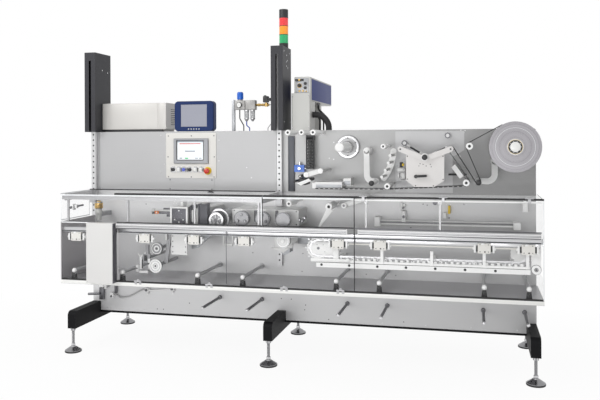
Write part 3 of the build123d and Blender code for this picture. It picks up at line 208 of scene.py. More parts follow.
stop_yellow = surface("stop_yellow", (0.80, 0.55, 0.03), 0.36, 0.0, 500, 0.04, 0.08)
orange_plastic = surface("orange_plastic", (0.80, 0.22, 0.03), 0.4, 0.0, 500, 0.05, 0.1)
hose_grey = surface("hose_grey", (0.45, 0.45, 0.45), 0.4, 0.0, 400, 0.05, 0.1)
hose_blue = surface("hose_blue", (0.02, 0.07, 0.38), 0.3, 0.0, 400, 0.05, 0.1)
# Dark discs that stand for holes: painted shade
painted_hole_shade = surface("painted_hole_shade", (0.03, 0.03, 0.032), 0.6, 0.2, 400, 0.2, 0.1)
core_card = surface("core_card", (0.62, 0.54, 0.38), 0.8, 0.0, 300, 0.12, 0.3, 0.0003)
screen_grey = surface("screen_grey", (0.33, 0.34, 0.40), 0.12, 0.0, 200, 0.03, 0.02, coat=0.6)


def clear_sheet(name, tint, low, high):
    """Clear sheet: nearly open straight on, brighter at a glance."""
    finish = Finish(name)
    facing = finish.add("LayerWeight", {"Blend": 0.25}, "Facing")
    haze = finish.noise((1.6, 1.6, 1.6), 2.0)
    veil = finish.math("ADD", finish.math("ADD", finish.math("MULTIPLY", facing, high - low), low),
                       finish.math("MULTIPLY", haze, 0.012))
    return finish.dress({"Alpha": veil, "Base Color": finish.tones(haze, tint, 0.97, 1), "Roughness": 0.06,
                         "IOR": 1.49})


def lens(name, colour):
    """Ribbed coloured cap: upright ribs, a little light in the plastic."""
    finish = Finish(name)
    ribs = finish.add("TexWave", {"Scale": 1.0, "Vector": finish.mapped((70, 70, 0.01))}, "Fac")
    tone = finish.tones(finish.noise((30, 30, 30)), colour, 0.85, 1.1)
    return finish.dress({"Base Color": tone, "Emission Color": tone, "Emission Strength": 0.35,
                         "Roughness": 0.16, "Coat Weight": 0.5, "Normal": finish.bump(ribs, 0.4, 0.001)})


def glow(name, colour, strength):
    """A lit part of the touch panel's screen."""
    finish = Finish(name)
    tone = finish.tones(finish.noise((60, 60, 60)), colour, 0.97, 1)
    return finish.dress({"Base Color": tone, "Emission Color": tone, "Emission Strength": strength,
                         "Roughness": 0.15})


def wound_film(name, centre, base):
    """Wound film: thin rings round the roll's axis on its ends, and faint streaks round its outside."""
    finish = Finish(name)
    shift = finish.add("VectorMath", {0: finish.place, 1: centre}, "Vector", operation="SUBTRACT")
    radius = finish.add("VectorMath", {0: finish.mapped((1, 0, 1), shift)}, "Value", operation="LENGTH")
    rings = finish.add("TexNoise", {"Scale": 900.0, "Detail": 4.0, "W": radius}, "Fac",
                       noise_dimensions="1D")
    bands = finish.add("TexNoise", {"Scale": 60.0, "W": radius}, "Fac", noise_dimensions="1D")
    mixed = finish.mix(rings, 0.6, bands, 0.4)
    tone = finish.ramp(mixed, ((0.32, shade(base, 0.72)), (0.5, base), (0.68, shade(base, 1.25))))
    return finish.dress({"Base Color": tone, "Metallic": 0.25, "Roughness": finish.span(mixed, 0.22, 0.4),
                         "Normal": finish.bump(rings, 0.25, 0.0004)})


clear_guard = clear_sheet("clear_guard", (0.90, 0.92, 0.93), 0.0, 0.11)
clear_bowl = clear_sheet("clear_bowl", (0.34, 0.36, 0.37), 0.45, 0.85)
# Pale colour for the lit edges of the clear sheets: a painted highlight
edge_highlight = surface("painted_edge_highlight", (0.80, 0.82, 0.83), 0.2, 0.0, 200, 0.04, 0.05, coat=0.3)
film_silver = wound_film("film_silver", tuple(at(REEL[0], 255, REEL[1])), (0.33, 0.32, 0.34))
film_edge = surface("film_edge", (0.10, 0.10, 0.105), 0.3, 0.2, (5, 900, 5), 0.1, 0.05)
panel_dark = surface("panel_dark", (0.11, 0.11, 0.125), 0.42, 0.3, 500, 0.1, 0.1)
side_sheet = surface("side_sheet", (0.42, 0.405, 0.42), 0.4, 0.5, BRUSHED, 0.05, 0.05)
screen_white = glow("screen_white", (0.80, 0.84, 0.86), 0.25)
screen_bar = glow("screen_bar", (0.30, 0.33, 0.38), 0.1)
screen_red = glow("screen_red", (0.62, 0.16, 0.16), 0.1)
screen_green = glow("screen_green", (0.10, 0.55, 0.22), 0.1)

NODE_FINISH = {
    "base_frame": beam_black, "levelling_foot_pads": black_rubber, "levelling_feet": foot_steel,
    "lower_wall_plate": lower_steel, "cabinet_front_panel": wall_steel, "film_wall_plate": film_wall,
    "rear_cabinet": cabinet_steel, "rear_cover_panels": cabinet_steel, "guide_rails": rail_grey,
    "lift_columns": anthracite, "operator_plate": cream_paint, "touch_panel": frame_silver,
    "operator_buttons": black_plastic, "coder_controller_box": box_paint, "coder_display": navy_plastic,
    "air_preparation_unit": laser_grey, "signal_tower_body": black_plastic,
    "signal_lens_green": lens("lens_green", (0.01, 0.36, 0.12)),
    "signal_lens_amber": lens("lens_amber", (0.90, 0.28, 0.01)),
    "signal_lens_red": lens("lens_red", (0.72, 0.03, 0.035)),
    "laser_marker": laser_grey, "laser_supports": laser_grey, "hoses_and_cables": black_rubber,
    "cable_guides": chain_black, "blue_air_valve": valve_blue, "film_roll": film_silver,
    "film_core": core_card, "unwind_mandrel": white_plastic, "unwind_hubs": light_cast,
    "idler_rollers": white_plastic, "splice_back_plate": splice_steel, "splice_unit": shield_paint,
    "dancer_arms": light_cast, "register_sensor": light_cast, "film_guides": light_cast,
    "guard_tray": tray_grey, "guard_seals": black_rubber, "tray_supports": bar_grey,
    "lower_wall_rods": machined, "front_cross_rail": panel_grey, "clamp_blocks": cream_paint,
    "fixed_guard_panes": clear_guard, "front_cover_box": cover_paint, "hood_frame": bar_grey,
    "hood_pane": clear_guard, "fixed_hinge_knuckles": bar_grey, "fold_door_panes": clear_guard,
    "fold_door_hardware": bar_grey, "lift_door_pane": clear_guard, "lift_door_hardware": bar_grey,
    "lug_chain": machined, "chain_wheels": light_cast, "infeed_rails": white_plastic,
    "sealing_head_housing": light_cast, "rotary_heads": disc_grey, "press_units": light_cast,
    "discharge_unit": disc_grey, "chain_drive_motor": light_cast, "film_web": film_edge,
    "left_side_sheet": side_sheet,
}
for node_name, node_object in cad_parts.items():
    node_object.data.materials.clear()
    node_object.data.materials.append(NODE_FINISH[node_name])


# Shapes
ARC_STEPS = 14
PLAIN_STEP = 0.006
SMOOTH_ANGLE = 38


def rounded_path(corners, bend):
    """Places along straight runs, with an arc of one radius in each corner."""
    path = [corners[0]]
    for before, corner, after in zip(corners, corners[1:], corners[2:]):
        back = (before - corner).normalized()
        ahead = (after - corner).normalized()
        half = back.angle(ahead) / 2
        centre = corner + (back + ahead).normalized() * (bend / sin(half))
        first = (corner + back * (bend / tan(half)) - centre).normalized()
        last = (corner + ahead * (bend / tan(half)) - centre).normalized()
        across = (last - first * last.dot(first)).normalized()
        for step in range(ARC_STEPS + 1):
            angle = (pi - 2 * half) * step / ARC_STEPS
            path.append(centre + (first * cos(angle) + across * sin(angle)) * bend)
    path.append(corners[-1])
    return path


def around(count, start=0):
    """Even angles round a circle, from a start in degrees."""
    return [radians(start) + 2 * pi * step / count for step in range(count)]


def on_circle(centre, radius, angle):
    return centre[0] + radius * cos(angle), centre[1] + radius * sin(angle)


class Shape:
    """Gathers the solids of one piece in one mesh. All its places are along, out and up, in millimetres."""

    def __init__(self):
        self.mesh = bmesh.new()

    def bevelled(self, edges, width):
        if width:
            bmesh.ops.bevel(self.mesh, geom=list(edges), offset=width / 1000, segments=2, profile=0.5,
                            affect="EDGES")

    def band(self, near, far):
        """Faces between two loops of vertices."""
        for step in range(len(near)):
            after = (step + 1) % len(near)
            self.mesh.faces.new((near[step], near[after], far[after], far[step]))

    def tube(self, loops):
        """A closed solid through loops of vertices, with a flat face on each end."""
        for near, far in zip(loops, loops[1:]):
            self.band(near, far)
        self.mesh.faces.new(loops[0][::-1])
        self.mesh.faces.new(loops[-1])

    def block(self, left, right, back, front, low, high, edge=0.8):
        near = at(left, front, low)
        far = at(right, back, high)
        corners = bmesh.ops.create_cube(self.mesh, size=1.0)["verts"]
        for corner in corners:
            corner.co = Vector([near[i] + (corner.co[i] + 0.5) * (far[i] - near[i]) for i in range(3)])
        self.bevelled({side for corner in corners for side in corner.link_edges}, edge)

    def turned(self, along, out, up, to_along, to_out, to_up, profile, sides=28):
        """A turned solid from one place on the line to another; the profile gives distance and radius."""
        origin = at(along, out, up)
        line = (at(to_along, to_out, to_up) - origin).normalized()
        turn = line.to_track_quat("Z", "Y").to_matrix()
        self.tube([[self.mesh.verts.new(origin + line * distance / 1000 +
                                        turn @ Vector((cos(angle), sin(angle), 0)) * radius / 1000)
                    for angle in around(sides)] for distance, radius in profile])

    def faced(self, along, out, up, profile, sides=28):
        """A turned solid that faces the operator."""
        self.turned(along, out, up, along, out + 10, up, profile, sides)

    def bar(self, along, out, up, to_along, to_out, to_up, radius, sides=20, edge=0.6):
        length = (at(to_along, to_out, to_up) - at(along, out, up)).length * 1000
        edge = min(edge, radius / 3, length / 3)
        self.turned(along, out, up, to_along, to_out, to_up, (
            (0, radius - edge), (edge, radius), (length - edge, radius), (length, radius - edge)), sides)

    def disc(self, along, up, radius, back, front, sides=28, edge=0.6):
        """A round solid facing the operator, between two distances out."""
        self.bar(along, back, up, along, front, up, radius, sides, edge)

    def plate(self, outline, back, front, edge=0.8):
        """A flat plate facing the operator with an outline of along and up."""
        behind = [self.mesh.verts.new(at(along, back, up)) for along, up in outline]
        before = [self.mesh.verts.new(at(along, front, up)) for along, up in outline]
        self.mesh.faces.new(behind)
        cap = self.mesh.faces.new(before[::-1])
        for step in range(len(outline)):
            after = (step + 1) % len(outline)
            self.mesh.faces.new((behind[step], before[step], before[after], behind[after]))
        self.bevelled(cap.edges, edge)

    def ring(self, along, up, inner, outer, back, front, sides=36):
        """A flat ring facing the operator."""
        loops = [[self.mesh.verts.new(at(across, out, height))
                  for across, height in [on_circle((along, up), radius, angle) for angle in around(sides)]]
                 for radius, out in ((inner, back), (outer, back), (outer, front), (inner, front))]
        for near, far in zip(loops, loops[1:] + loops[:1]):
            self.band(near, far)

    def hose(self, points, bend, radius, rib=0.0, pitch=6.0, sides=14):
        """A round hose along straight runs joined by arcs, with ribs if rib is given."""
        path = rounded_path([at(*place) for place in points], bend / 1000)
        lengths = [0.0]
        for a, b in zip(path, path[1:]):
            lengths.append(lengths[-1] + (b - a).length)
        step_length = (pitch / 2000) if rib else PLAIN_STEP
        count = max(2, int(lengths[-1] / step_length))
        loops = []
        side = None
        index = 0
        for step in range(count + 1):
            reach = lengths[-1] * step / count
            while index < len(lengths) - 2 and lengths[index + 1] < reach:
                index += 1
            run = lengths[index + 1] - lengths[index]
            share = (reach - lengths[index]) / run if run else 0.0
            centre = path[index].lerp(path[index + 1], share)
            heading = (path[index + 1] - path[index]).normalized()
            if side is None:
                side = heading.orthogonal().normalized()
            side = (side - heading * side.dot(heading)).normalized()
            up = heading.cross(side)
            size = (radius + (rib if step % 2 else 0.0)) / 1000
            loops.append([self.mesh.verts.new(centre + (side * cos(angle) + up * sin(angle)) * size)
                          for angle in around(sides)])
        self.tube(loops)

    def done(self, name, material, body):
        bmesh.ops.recalc_face_normals(self.mesh, faces=self.mesh.faces)
        data = bpy.data.meshes.new(name)
        self.mesh.to_mesh(data)
        self.mesh.free()
        data.polygons.foreach_set("use_smooth", [True] * len(data.polygons))
        data.set_sharp_from_angle(angle=radians(SMOOTH_ANGLE))
        data.materials.append(material)
        piece = bpy.data.objects.new(name, data)
        scene.collection.objects.link(piece)
        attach(piece, body)
        return piece


def piece(name, material, slot, body="machine", **solids):
    """One piece of the machine, with rows of numbers for each kind of solid, named as a method of Shape."""
    shape = Shape()
    for kind, rows in solids.items():
        for row in rows:
            getattr(shape, kind)(*row)
    return shape.done(name, material, body)


# Places and sizes that several pieces share
PLATE_OUT = 4
BUTTON_Z = 1264
STOP = (913, PLATE_OUT, BUTTON_Z - 8)
BUTTONS = (649, 692, 730, 777, 819, 861)
BUTTON_COLOURS = (black_plastic, button_white, button_blue, black_plastic, button_white, button_white)
BUTTON_GUARD_SIDES = (-1, 1, 1, -1, 1, 1)
ON_SCREEN = (PLATE_OUT + 10.6, PLATE_OUT + 10.8)
AIR_OUT = -70
BOWLS = (1182, 1227)
RAILS = (22, 1449)
RAIL_HOLES_FROM = 640
RAIL_PITCH = 80
CABINET_TOP = 1540
HUB = (1930, 1424)
ARM_TIPS = ((2320, 1412), (2625, 1412))
CUTTER = (1107, 946)
SEALING_DISCS = ((1281, 958), (1424, 958))
MOTOR = (1578, 830)
WHEEL = (1800, 790)
END_BORE = (3115, 705)
LOW_WHEEL = (668, 625)
DRIVE_WHEELS = ((676, 743), LOW_WHEEL)
FOLD_BAR = (456, 2002)
LIFT_BAR = (2076, 3137)
TRAY_ROD_UP = 589
WALL_ROD_UP = 356
TRAY_RODS = (103, 465, 1003, 1312, 1925, 2194, 2820, 3075)
WALL_RODS = (1000, 1312, 1920, 2192, 2818, 3076)
CLAMPS = (136, 640, 987, 1330, 1942, 2203, 2820, 3069)
FEET = [(along, out) for along in (31.5, 1454, 3118.5) for out in (330, -480)]
PANELS = [52 + 765 * panel for panel in range(4)]
KNOB_ROW = ((1150, 868), (1220, 872), (1352, 856), (1382, 876), (1398, 862), (1650, 948), (1668, 940),
            (1684, 962))

# Depths of the guard's thin lines: its face, and the bars and clear sheets in front of it
GUARD = 475
BAR_OUT = (GUARD, GUARD + 25)
BAR_GROOVE = (GUARD + 24.4, GUARD + 25.4)
BAR_SHADE_LINE = (GUARD + 25.05, GUARD + 25.4)
BAR_HIGHLIGHT = (GUARD + 25.05, GUARD + 25.5)
SHEET_LINE = (GUARD + 0.1, GUARD + 1.2)
SHEET_EDGE = (GUARD + 0.1, GUARD + 1.4)
SHEET_SEAL = (GUARD + 0.1, GUARD + 1.8)

# Profiles of turned fasteners: distance and radius
PLATE_SCREW = ((0, 4.2), (1.6, 4.2), (2.6, 3.0))
WALL_SCREW = ((0, 4.5), (2.2, 4.5), (3.2, 3.2))
COLUMN_SCREW = ((0, 5), (2.4, 5), (3.4, 3.6))
CHUTE_SCREW = ((0, 4), (2, 4), (3, 2.8))
COVER_SCREW = ((0, 3.2), (0.8, 3.2), (1.0, 2.4))
BUTTON_CAP = ((0, 13), (10, 13), (12.5, 12), (13.5, 10), (14, 5))
ROD_TIP = ((0, 11), (2, 14), (8, 15.6), (14, 16), (22, 13.5), (27, 7))
WALL_ROD_TIP = ((0, 9), (3, 9.8), (9, 9.8), (14, 7.5), (16, 4))
CABLE_GLAND = ((0, 13), (6, 13), (6, 11), (16, 10), (18, 9))
TOWER_RING = ((0, 32.4), (0.6, 32.9), (3.4, 32.9), (4, 32.4))
THREAD_PITCH = 6
FOOT_THREAD = [(0, 8.8)]
for index in range(16):
    FOOT_THREAD += [(index * THREAD_PITCH + step, radius)
                    for step, radius in ((1, 8.8), (2.5, 10), (4.5, 10), (THREAD_PITCH, 8.8))]

# Operator plate: screws, push buttons with bezels, emergency stop
piece("operator_plate_screws", dark_steel, "bright_steel", faced=[
    (along, PLATE_OUT - 0.5, up, PLATE_SCREW, 16)
        for along, up in ((610, 1507), (788, 1507), (960, 1507), (607, 1356), (962, 1356), (610, 1212),
        (786, 1211), (960, 1212), (621, 1190), (943, 1190), (621, 1124), (943, 1124))])
bezel_piece = piece("button_bezels", machined, "bright_steel", ring=[
    (along, BUTTON_Z, 13.4, 15.6, PLATE_OUT, PLATE_OUT + 5) for along in BUTTONS], block=[
    (along - 17, along + 17, PLATE_OUT, PLATE_OUT + 1.2, BUTTON_Z - 20, BUTTON_Z + 22, 0.5)
        for along in BUTTONS])
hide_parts("operator_buttons")
piece("button_guards", black_plastic, "button_black", block=[
    *[(*sorted((along + side * 15.8, along + side * 18.5)), PLATE_OUT, PLATE_OUT + 9, BUTTON_Z - 15,
        BUTTON_Z + 15, 0.8) for along, side in zip(BUTTONS, BUTTON_GUARD_SIDES)],
    *[(along - 12, along + 12, PLATE_OUT + 1.2, PLATE_OUT + 2, BUTTON_Z + 16.4, BUTTON_Z + 20.4, 0.2)
        for along in BUTTONS]])
for number, (along, colour) in enumerate(zip(BUTTONS, BUTTON_COLOURS)):
    piece(f"button_cap_{number + 1}", colour, "button_black", faced=[
        (along, PLATE_OUT, BUTTON_Z, BUTTON_CAP)])
piece("stop_base", stop_yellow, "button_black", faced=[
    (*STOP, ((0, 28), (3, 28), (5, 26), (5, 13), (22, 13)), 36)])
piece("stop_head", stop_red, "button_black", faced=[
    (STOP[0], STOP[1] + 14, STOP[2], ((0, 13), (4, 19), (14, 20), (19, 18.5), (22.5, 13), (24, 5)),
        36)])

# Touch panel: dark inner border, lit screen with a plain layout of bars and keys
piece("touch_panel_border", black_plastic, "button_black", block=[
    (676.5, 885.5, PLATE_OUT + 9.6, PLATE_OUT + 10.2, 1330.5, 1476.5, 0)])
piece("touch_screen", screen_white, "panel_grey", block=[
    (684, 880, PLATE_OUT + 10.2, PLATE_OUT + 10.6, 1336, 1472, 0)])
piece("screen_bars", screen_bar, "panel_grey", block=[
    (684, 880, *ON_SCREEN, 1461, 1472, 0),
    *[(along, along + width, *ON_SCREEN, up, up + height, 0)
        for along, up, width, height in ((742, 1392, 78, 9), (700, 1343, 22, 7), (820, 1343, 22, 7),
        (850, 1343, 20, 7))]])
piece("screen_red_line", screen_red, "panel_grey", block=[(700, 862, *ON_SCREEN, 1447, 1454, 0)])
piece("screen_green_key", screen_green, "panel_grey", block=[(742, 768, *ON_SCREEN, 1341, 1350, 0)])

# Rail fixings: caps in the rail's holes, and a dark disc of painted shade for a hole at each 40 mm
piece("rail_caps", rail_grey, "bright_steel", disc=[
    (along, up, 6.9, 16, 29.1, 20, 0.1) for along in RAILS
        for up in range(RAIL_HOLES_FROM, 2001, RAIL_PITCH)])
piece("rail_holes", painted_hole_shade, "frame_black", disc=[
    (along, up, 6.2, 28.9, 29.4, 16, 0.1) for along in RAILS
        for up in range(RAIL_HOLES_FROM, 2081, RAIL_PITCH // 2)])

# Screws on the walls, and dark discs of painted shade for tapped holes
piece("wall_screws", machined, "bright_steel", faced=[
    *[(along, -0.5, up, WALL_SCREW, 16) for along, up in ((550, 1512), (549, 1246), (997, 1475),
        (996, 1328), (577, 1302), (1203, 1281), (1238, 1209), (1431, 1512), (2431, 1481), (2519, 1480),
        (2681, 1532), (2707, 1529), (1830, 1456), (1829, 1340), (1798, 1347), (2700, 1516), (2673, 1361),
        (1667, 1093), (70, 1120), (70, 1528))],
    *[(along, -0.5, 236, WALL_SCREW, 16) for along in range(120, 3031, 291)]])
piece("tapped_holes", painted_hole_shade, "frame_black", disc=[
    (along, up, 3.6, -0.2, 0.5, 14, 0.1) for along, up in ((1453, 367), (1524, 366), (1620, 297),
        (515, 247), (564, 247), (766, 301), (1246, 680), (1331, 489), (1602, 562), (1609, 686),
        (1789, 239), (1626, 330), (2364, 639), (2301, 250), (2352, 884), (2433, 1042), (2460, 1036),
        (2698, 1046), (1900, 640), (2050, 560), (2250, 560), (2420, 470), (560, 960), (480, 940),
        (430, 1010), (1180, 1060))])
piece("panel_latch", black_plastic, "button_black", block=[
    (914, 956, 0, 16, 1100.5, 1106.5), (924, 950, 10, 22, 1106.5, 1113)])

# Coder box: front cover with a shadow gap, end strip, side slots, dark strip under the box
piece("coder_box_cover", box_paint, "box_white", block=[
    (66, 512, -30.4, -27.5, 1561, 1748, 1.2), (520, 576, -30.4, -28.5, 1561, 1748, 1.0)])
piece("coder_box_slots", black_plastic, "button_black", block=[
    *[(578.6, 579.6, -230, -110, 1590 + index * 14, 1595 + index * 14, 0) for index in range(9)],
    (93, 549, -45, -33, 1541, 1557.9, 0.5)])

# Coder display: glass, grips and keys
piece("coder_display_glass", screen_grey, "navy_plastic", block=[
    (706, 904.5, -2.6, -1.8, 1573.5, 1732.5, 0)])
piece("coder_display_grips", navy_plastic, "navy_plastic", block=[
    (*sides, -46, -6, 1600 + index * 32, 1618 + index * 32, 3) for index in range(4)
        for sides in ((655.2, 668), (942, 954.8))])
piece("coder_display_keys", panel_grey, "navy_plastic", faced=[
    (765 + index * 20, -0.6, 1556, ((0, 5), (0.9, 5), (1.2, 4)), 16) for index in range(5)])

# Air unit: post, regulator, knob, clear bowls in guards, fittings and solenoid
post_piece = piece("air_unit_post", panel_grey, "machined_alu", block=[
    (1077, 1098, -72, -50, 1540, 1763, 1.0), (1079, 1096, -50, -47, 1545, 1758, 0.5)])
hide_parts("air_preparation_unit")
piece("air_unit_regulator", device_grey, "machined_alu", block=[
    (1098, 1176, -95, -45, 1692, 1758, 5), (1178, 1253, -95, -45, 1690, 1760, 5)], turned=[
    (1134, AIR_OUT, 1758, 1134, AIR_OUT, 1800, ((0, 20), (6, 20), (6, 14), (8, 14)))])
piece("air_unit_knob", valve_blue, "valve_blue", turned=[
    (1134, AIR_OUT, 1766, 1134, AIR_OUT, 1820, ((0, 21), (3, 22), (44, 21.5), (52, 19.5), (54, 15)), 32)],
    bar=[
    (*on_circle((1134, AIR_OUT), 21.6, angle), 1770, *on_circle((1134, AIR_OUT), 21.2, angle), 1812, 1.6, 8)
        for angle in around(12)])
piece("air_unit_gauge_body", black_plastic, "button_black", faced=[
    (1137, -46, 1725, ((0, 8), (6, 8), (6, 19), (17, 19), (18.5, 17.5)), 32)])
piece("air_unit_gauge_dial", button_white, "box_white", faced=[
    (1137, -29, 1725, ((0, 16.5), (1.4, 16.5), (1.8, 15)), 32)])
piece("air_unit_bowls", clear_bowl, "clear_guard", turned=[
    (along, AIR_OUT, 1690, along, AIR_OUT, 1590, ((0, 15.5), (60, 15.5), (70, 12), (76, 6)), 24)
    for along in BOWLS])
piece("air_unit_bowl_guards", machined, "machined_alu", turned=[
    *[(along, AIR_OUT, 1691, along, AIR_OUT, 1590, ((0, 18), (12, 18), (14, 16.5)), 24) for along in BOWLS],
    *[(along, AIR_OUT, 1632, along, AIR_OUT, 1590, ((0, 17.6), (5, 17.6), (14, 12), (22, 7), (24, 4)), 24)
        for along in BOWLS]], bar=[
    (*spot, 1680, *spot, 1628, 1.4, 8)
        for spot in [on_circle((along, AIR_OUT), 16.6, angle) for along in BOWLS for angle in around(6)]])
piece("air_unit_fittings", brass, "machined_alu", bar=[
    (1253, AIR_OUT, 1725, 1306, AIR_OUT, 1725, 9, 6), (1268, AIR_OUT, 1725, 1284, AIR_OUT, 1725, 12, 6),
    (1296, AIR_OUT, 1725, 1350, AIR_OUT, 1725, 11, 6), (1330, AIR_OUT, 1712, 1330, AIR_OUT, 1740, 12, 6)])
piece("air_unit_solenoid", black_plastic, "button_black", block=[
    (1308, 1346, -88, -52, 1742, 1786, 3), (1330, 1362, -84, -56, 1752, 1774, 2)], turned=[
    (1320, AIR_OUT, 1786, 1320, AIR_OUT, 1800, ((0, 10), (4, 10), (7, 7)))])

# Signal tower: dark rings between the lenses
piece("signal_tower_rings", black_plastic, "button_black", turned=[
    (1454, -90, up - 2, 1454, -90, up + 20, TOWER_RING, 40)
        for up in (2157, 2221, 2282, 2340)])

# Column details: screws on the sides of both columns
piece("column_screws", polished, "bright_steel", turned=[
    *[(1487.6, out, up, 1500, out, up, COLUMN_SCREW, 16)
        for out, up in ((-30, 2068), (-52, 2033), (-20, 2022), (-58, 1981), (-26, 1991), (40, 1600),
        (-120, 1600), (40, 2090), (-120, 2090))],
    *[(60.6, out, up, 80, out, up, COLUMN_SCREW, 16)
        for out, up in ((-30, 2001), (-110, 1988), (-120, 1600))]])

# Laser marker: blue side plates, connector plate, plugs and sockets
piece("laser_side_plates", laser_blue, "laser_grey", block=[
    (*along, -770, -70, 1754, 1902, 0.3) for along in ((1659.6, 1660.8), (1544.2, 1545.4))])
piece("laser_connector_plate", panel_grey, "laser_grey", block=[(1556, 1648, -30.5, -28, 1800, 1904, 0.6)])
piece("laser_plugs", black_plastic, "button_black", disc=[
    (1583, 1852, 13, -29, -14), (1583, 1852, 9, -14, -6), (1625, 1866, 10, -29, -16),
    (1625, 1836, 10, -29, -16), (1560, 1890, 7, -29, -12)], block=[
    (1562, 1612, -29, -22, 1884, 1900, 1.5)])
piece("laser_sockets", brass, "machined_alu", disc=[
    (1583, 1892, 8, -29, -18), (1583, 1815, 7, -29, -20), (1608, 1815, 7, -29, -20),
    (1632, 1812, 5, -29, -20)], ring=[
    (1583, 1852, 13, 16, -29, -24)])
piece("chute_screws", polished, "bright_steel", faced=[
    (along, -0.5, up, CHUTE_SCREW, 16) for along in (1540, 1656) for up in (1560, 1660, 1780)])

# Hoses and cables, along the routes of the node that they replace
hose_piece = piece("extraction_hose", black_rubber, "hose_black", hose=[
    (((1666, -75, 1650), (1781, -75, 1650), (1781, -75, 1540)), 95, 20.5, 1.5, 7.0, 20)])
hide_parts("hoses_and_cables")


def drop(out, start, knee, end):
    """A cable's corners from start down to a knee, aside to end, and down to the cabinet's top."""
    return ((start[0], out, start[1]), (start[0], out, knee),
            (end[0], out, end[1]), (end[0], out, CABINET_TOP))


CABLES = (
    ("laser_cable_front", drop(-200, (1650, 1744), 1690, (1690, 1620)), 28, 7, black_rubber),
    ("laser_cable_middle", drop(-330, (1652, 1744), 1700, (1722, 1630)), 32, 8, black_rubber),
    ("laser_cable_rear", drop(-560, (1600, 1744), 1680, (1642, 1620)), 28, 7, black_rubber),
    ("air_line_black", drop(AIR_OUT, (1130, 1692), 1630, (1160, 1580)), 18, 4, black_rubber),
    ("air_line_blue", drop(AIR_OUT, (1182, 1610), 1580, (1204, 1562)), 8, 4, hose_blue),
    ("air_line_grey", ((1348, AIR_OUT, 1726), (1372, AIR_OUT, 1726), (1372, AIR_OUT, 1600),
                       (1340, AIR_OUT, 1560), (1340, AIR_OUT, CABINET_TOP)), 12, 3, hose_grey),
    ("low_wall_hose", ((436, 16, 387), (405, 16, 387), (300, 16, 330), (230, 16, 318), (200, 16, 340),
                       (176, 16, 340)), 20, 5, hose_grey),
)
for name, route, bend, radius, colour in CABLES:
    piece(name, colour, "hose_black", hose=[(route, bend, radius)])
piece("laser_cable_glands", dark_steel, "frame_black", turned=[
    (along, out, up, along, out, up - 20, CABLE_GLAND, 20)
        for along, out, up in ((1650, -200, 1745), (1652, -330, 1745), (1600, -560, 1745))])

# Cable guides: channel with a lip, and the drag chain's links
channel_piece = piece("cable_channel", channel_grey, "chain_plastic", block=[
    (1508, 1554, 0, 12, 1118, 1501, 1.2), (1512, 1515, 12, 15, 1120, 1499, 0.4),
    (1547, 1550, 12, 15, 1120, 1499, 0.4)])
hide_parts("cable_guides")
LINK_UPS = [1274 + index * 21.2 for index in range(11)]
piece("drag_chain_links", chain_black, "chain_plastic", block=[
    *[(*along, 32, 66, up, up + 23, 1.5) for up in LINK_UPS for along in ((1648, 1653), (1697, 1702))],
    *[(1651, 1699, *out, up + 5, up + 14, 1.5) for up in LINK_UPS for out in ((60, 68), (30, 36))],
    (1652, 1698, 0, 40, 1470, 1505, 1.5)])
piece("drag_chain_cables", black_rubber, "hose_black", bar=[
    (along, 48, 1500, along, 48, 1274, 4, 12) for along in (1664, 1674, 1686)])

# Blue valve details
piece("blue_valve_fittings", polished, "bright_steel", disc=[
    (1595, 1277, 9, 40, 46)], bar=[
    (1595, 26, 1301, 1595, 26, 1322, 9), (1630, 26, 1277, 1642, 26, 1277, 6)])

# Dancer arms: smooth bent bars with a round end at the pivot
ARM_HALF = 19
ARMS = ((((2890, 1330), (2890, 1202), (2790, 1209)), 46), (((2076, 1398), (2078, 1199), (2140, 1199)), 40))
PIVOTS = [corners[0] for corners, bend in ARMS]
KNOBS = [corners[-1] for corners, bend in ARMS]


def bent_bar(corners, bend):
    """The outline of a bar of one width along corners with round bends, as along and up."""
    line = rounded_path([at(along, 0, up) for along, up in corners], bend / 1000)
    spots = [((place.x - WALL_LEFT) * 1000, place.z * 1000) for place in line]
    left, right = [], []
    for index, (along, up) in enumerate(spots):
        before = spots[max(index - 1, 0)]
        after = spots[min(index + 1, len(spots) - 1)]
        way = Vector((after[0] - before[0], after[1] - before[1])).normalized()
        left.append((along - way.y * ARM_HALF, up + way.x * ARM_HALF))
        right.append((along + way.y * ARM_HALF, up - way.x * ARM_HALF))
    return left + right[::-1]


arm_piece = piece("dancer_bent_arms", white_plastic, "cast_light", plate=[
    (bent_bar(*arm), 130, 142, 1.5) for arm in ARMS], disc=[
    *[(*spot, ARM_HALF, 130, 142, 32, 1.5) for spot in PIVOTS + KNOBS],
    *[(*spot, 23.5, 0, 130, 32) for spot in PIVOTS], *[(*spot, 12, 142, 150, 24, 2) for spot in PIVOTS],
    *[(*spot, 14, 142, 345, 28) for spot in KNOBS], *[(*spot, 15.5, 345, 365, 28) for spot in KNOBS]])
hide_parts("dancer_arms")

# Film unit: roller end faces with dark bearings, knobs, black dancer knobs, lever
ROLLERS = ((1594, 1521, 18), (1685, 1521, 18), (1761, 1521, 18), (2737, 1429, 21), (2717, 1205, 20),
           (2211, 1429, 16), (2235, 1179, 19), (1599, 1060, 18), (1862, 1045, 22))
piece("roller_end_caps", white_plastic, "roller_white", ring=[
    (along, up, radius * 0.45, radius - 1.5, 345, 347) for along, up, radius in ROLLERS])
piece("roller_bores_and_knobs", black_plastic, "button_black", disc=[
    *[(along, up, radius * 0.42, 345, 346.4) for along, up, radius in ROLLERS],
    *[(along, up, 5, 363, 367) for along, up in ARM_TIPS]], faced=[
    *[(along, 365, up, ((0, 17), (8, 17), (12, 14), (14, 8)), 24) for along, up in KNOBS],
    (2470, 381, 1362, ((0, 17), (10, 17), (13, 14), (15, 8)), 24)])
piece("wall_knob_rings", dark_steel, "frame_black", ring=[
    (along, up, 12, 19.5, 33, 35) for along, up in ((2314, 1449), (2596, 1498))])
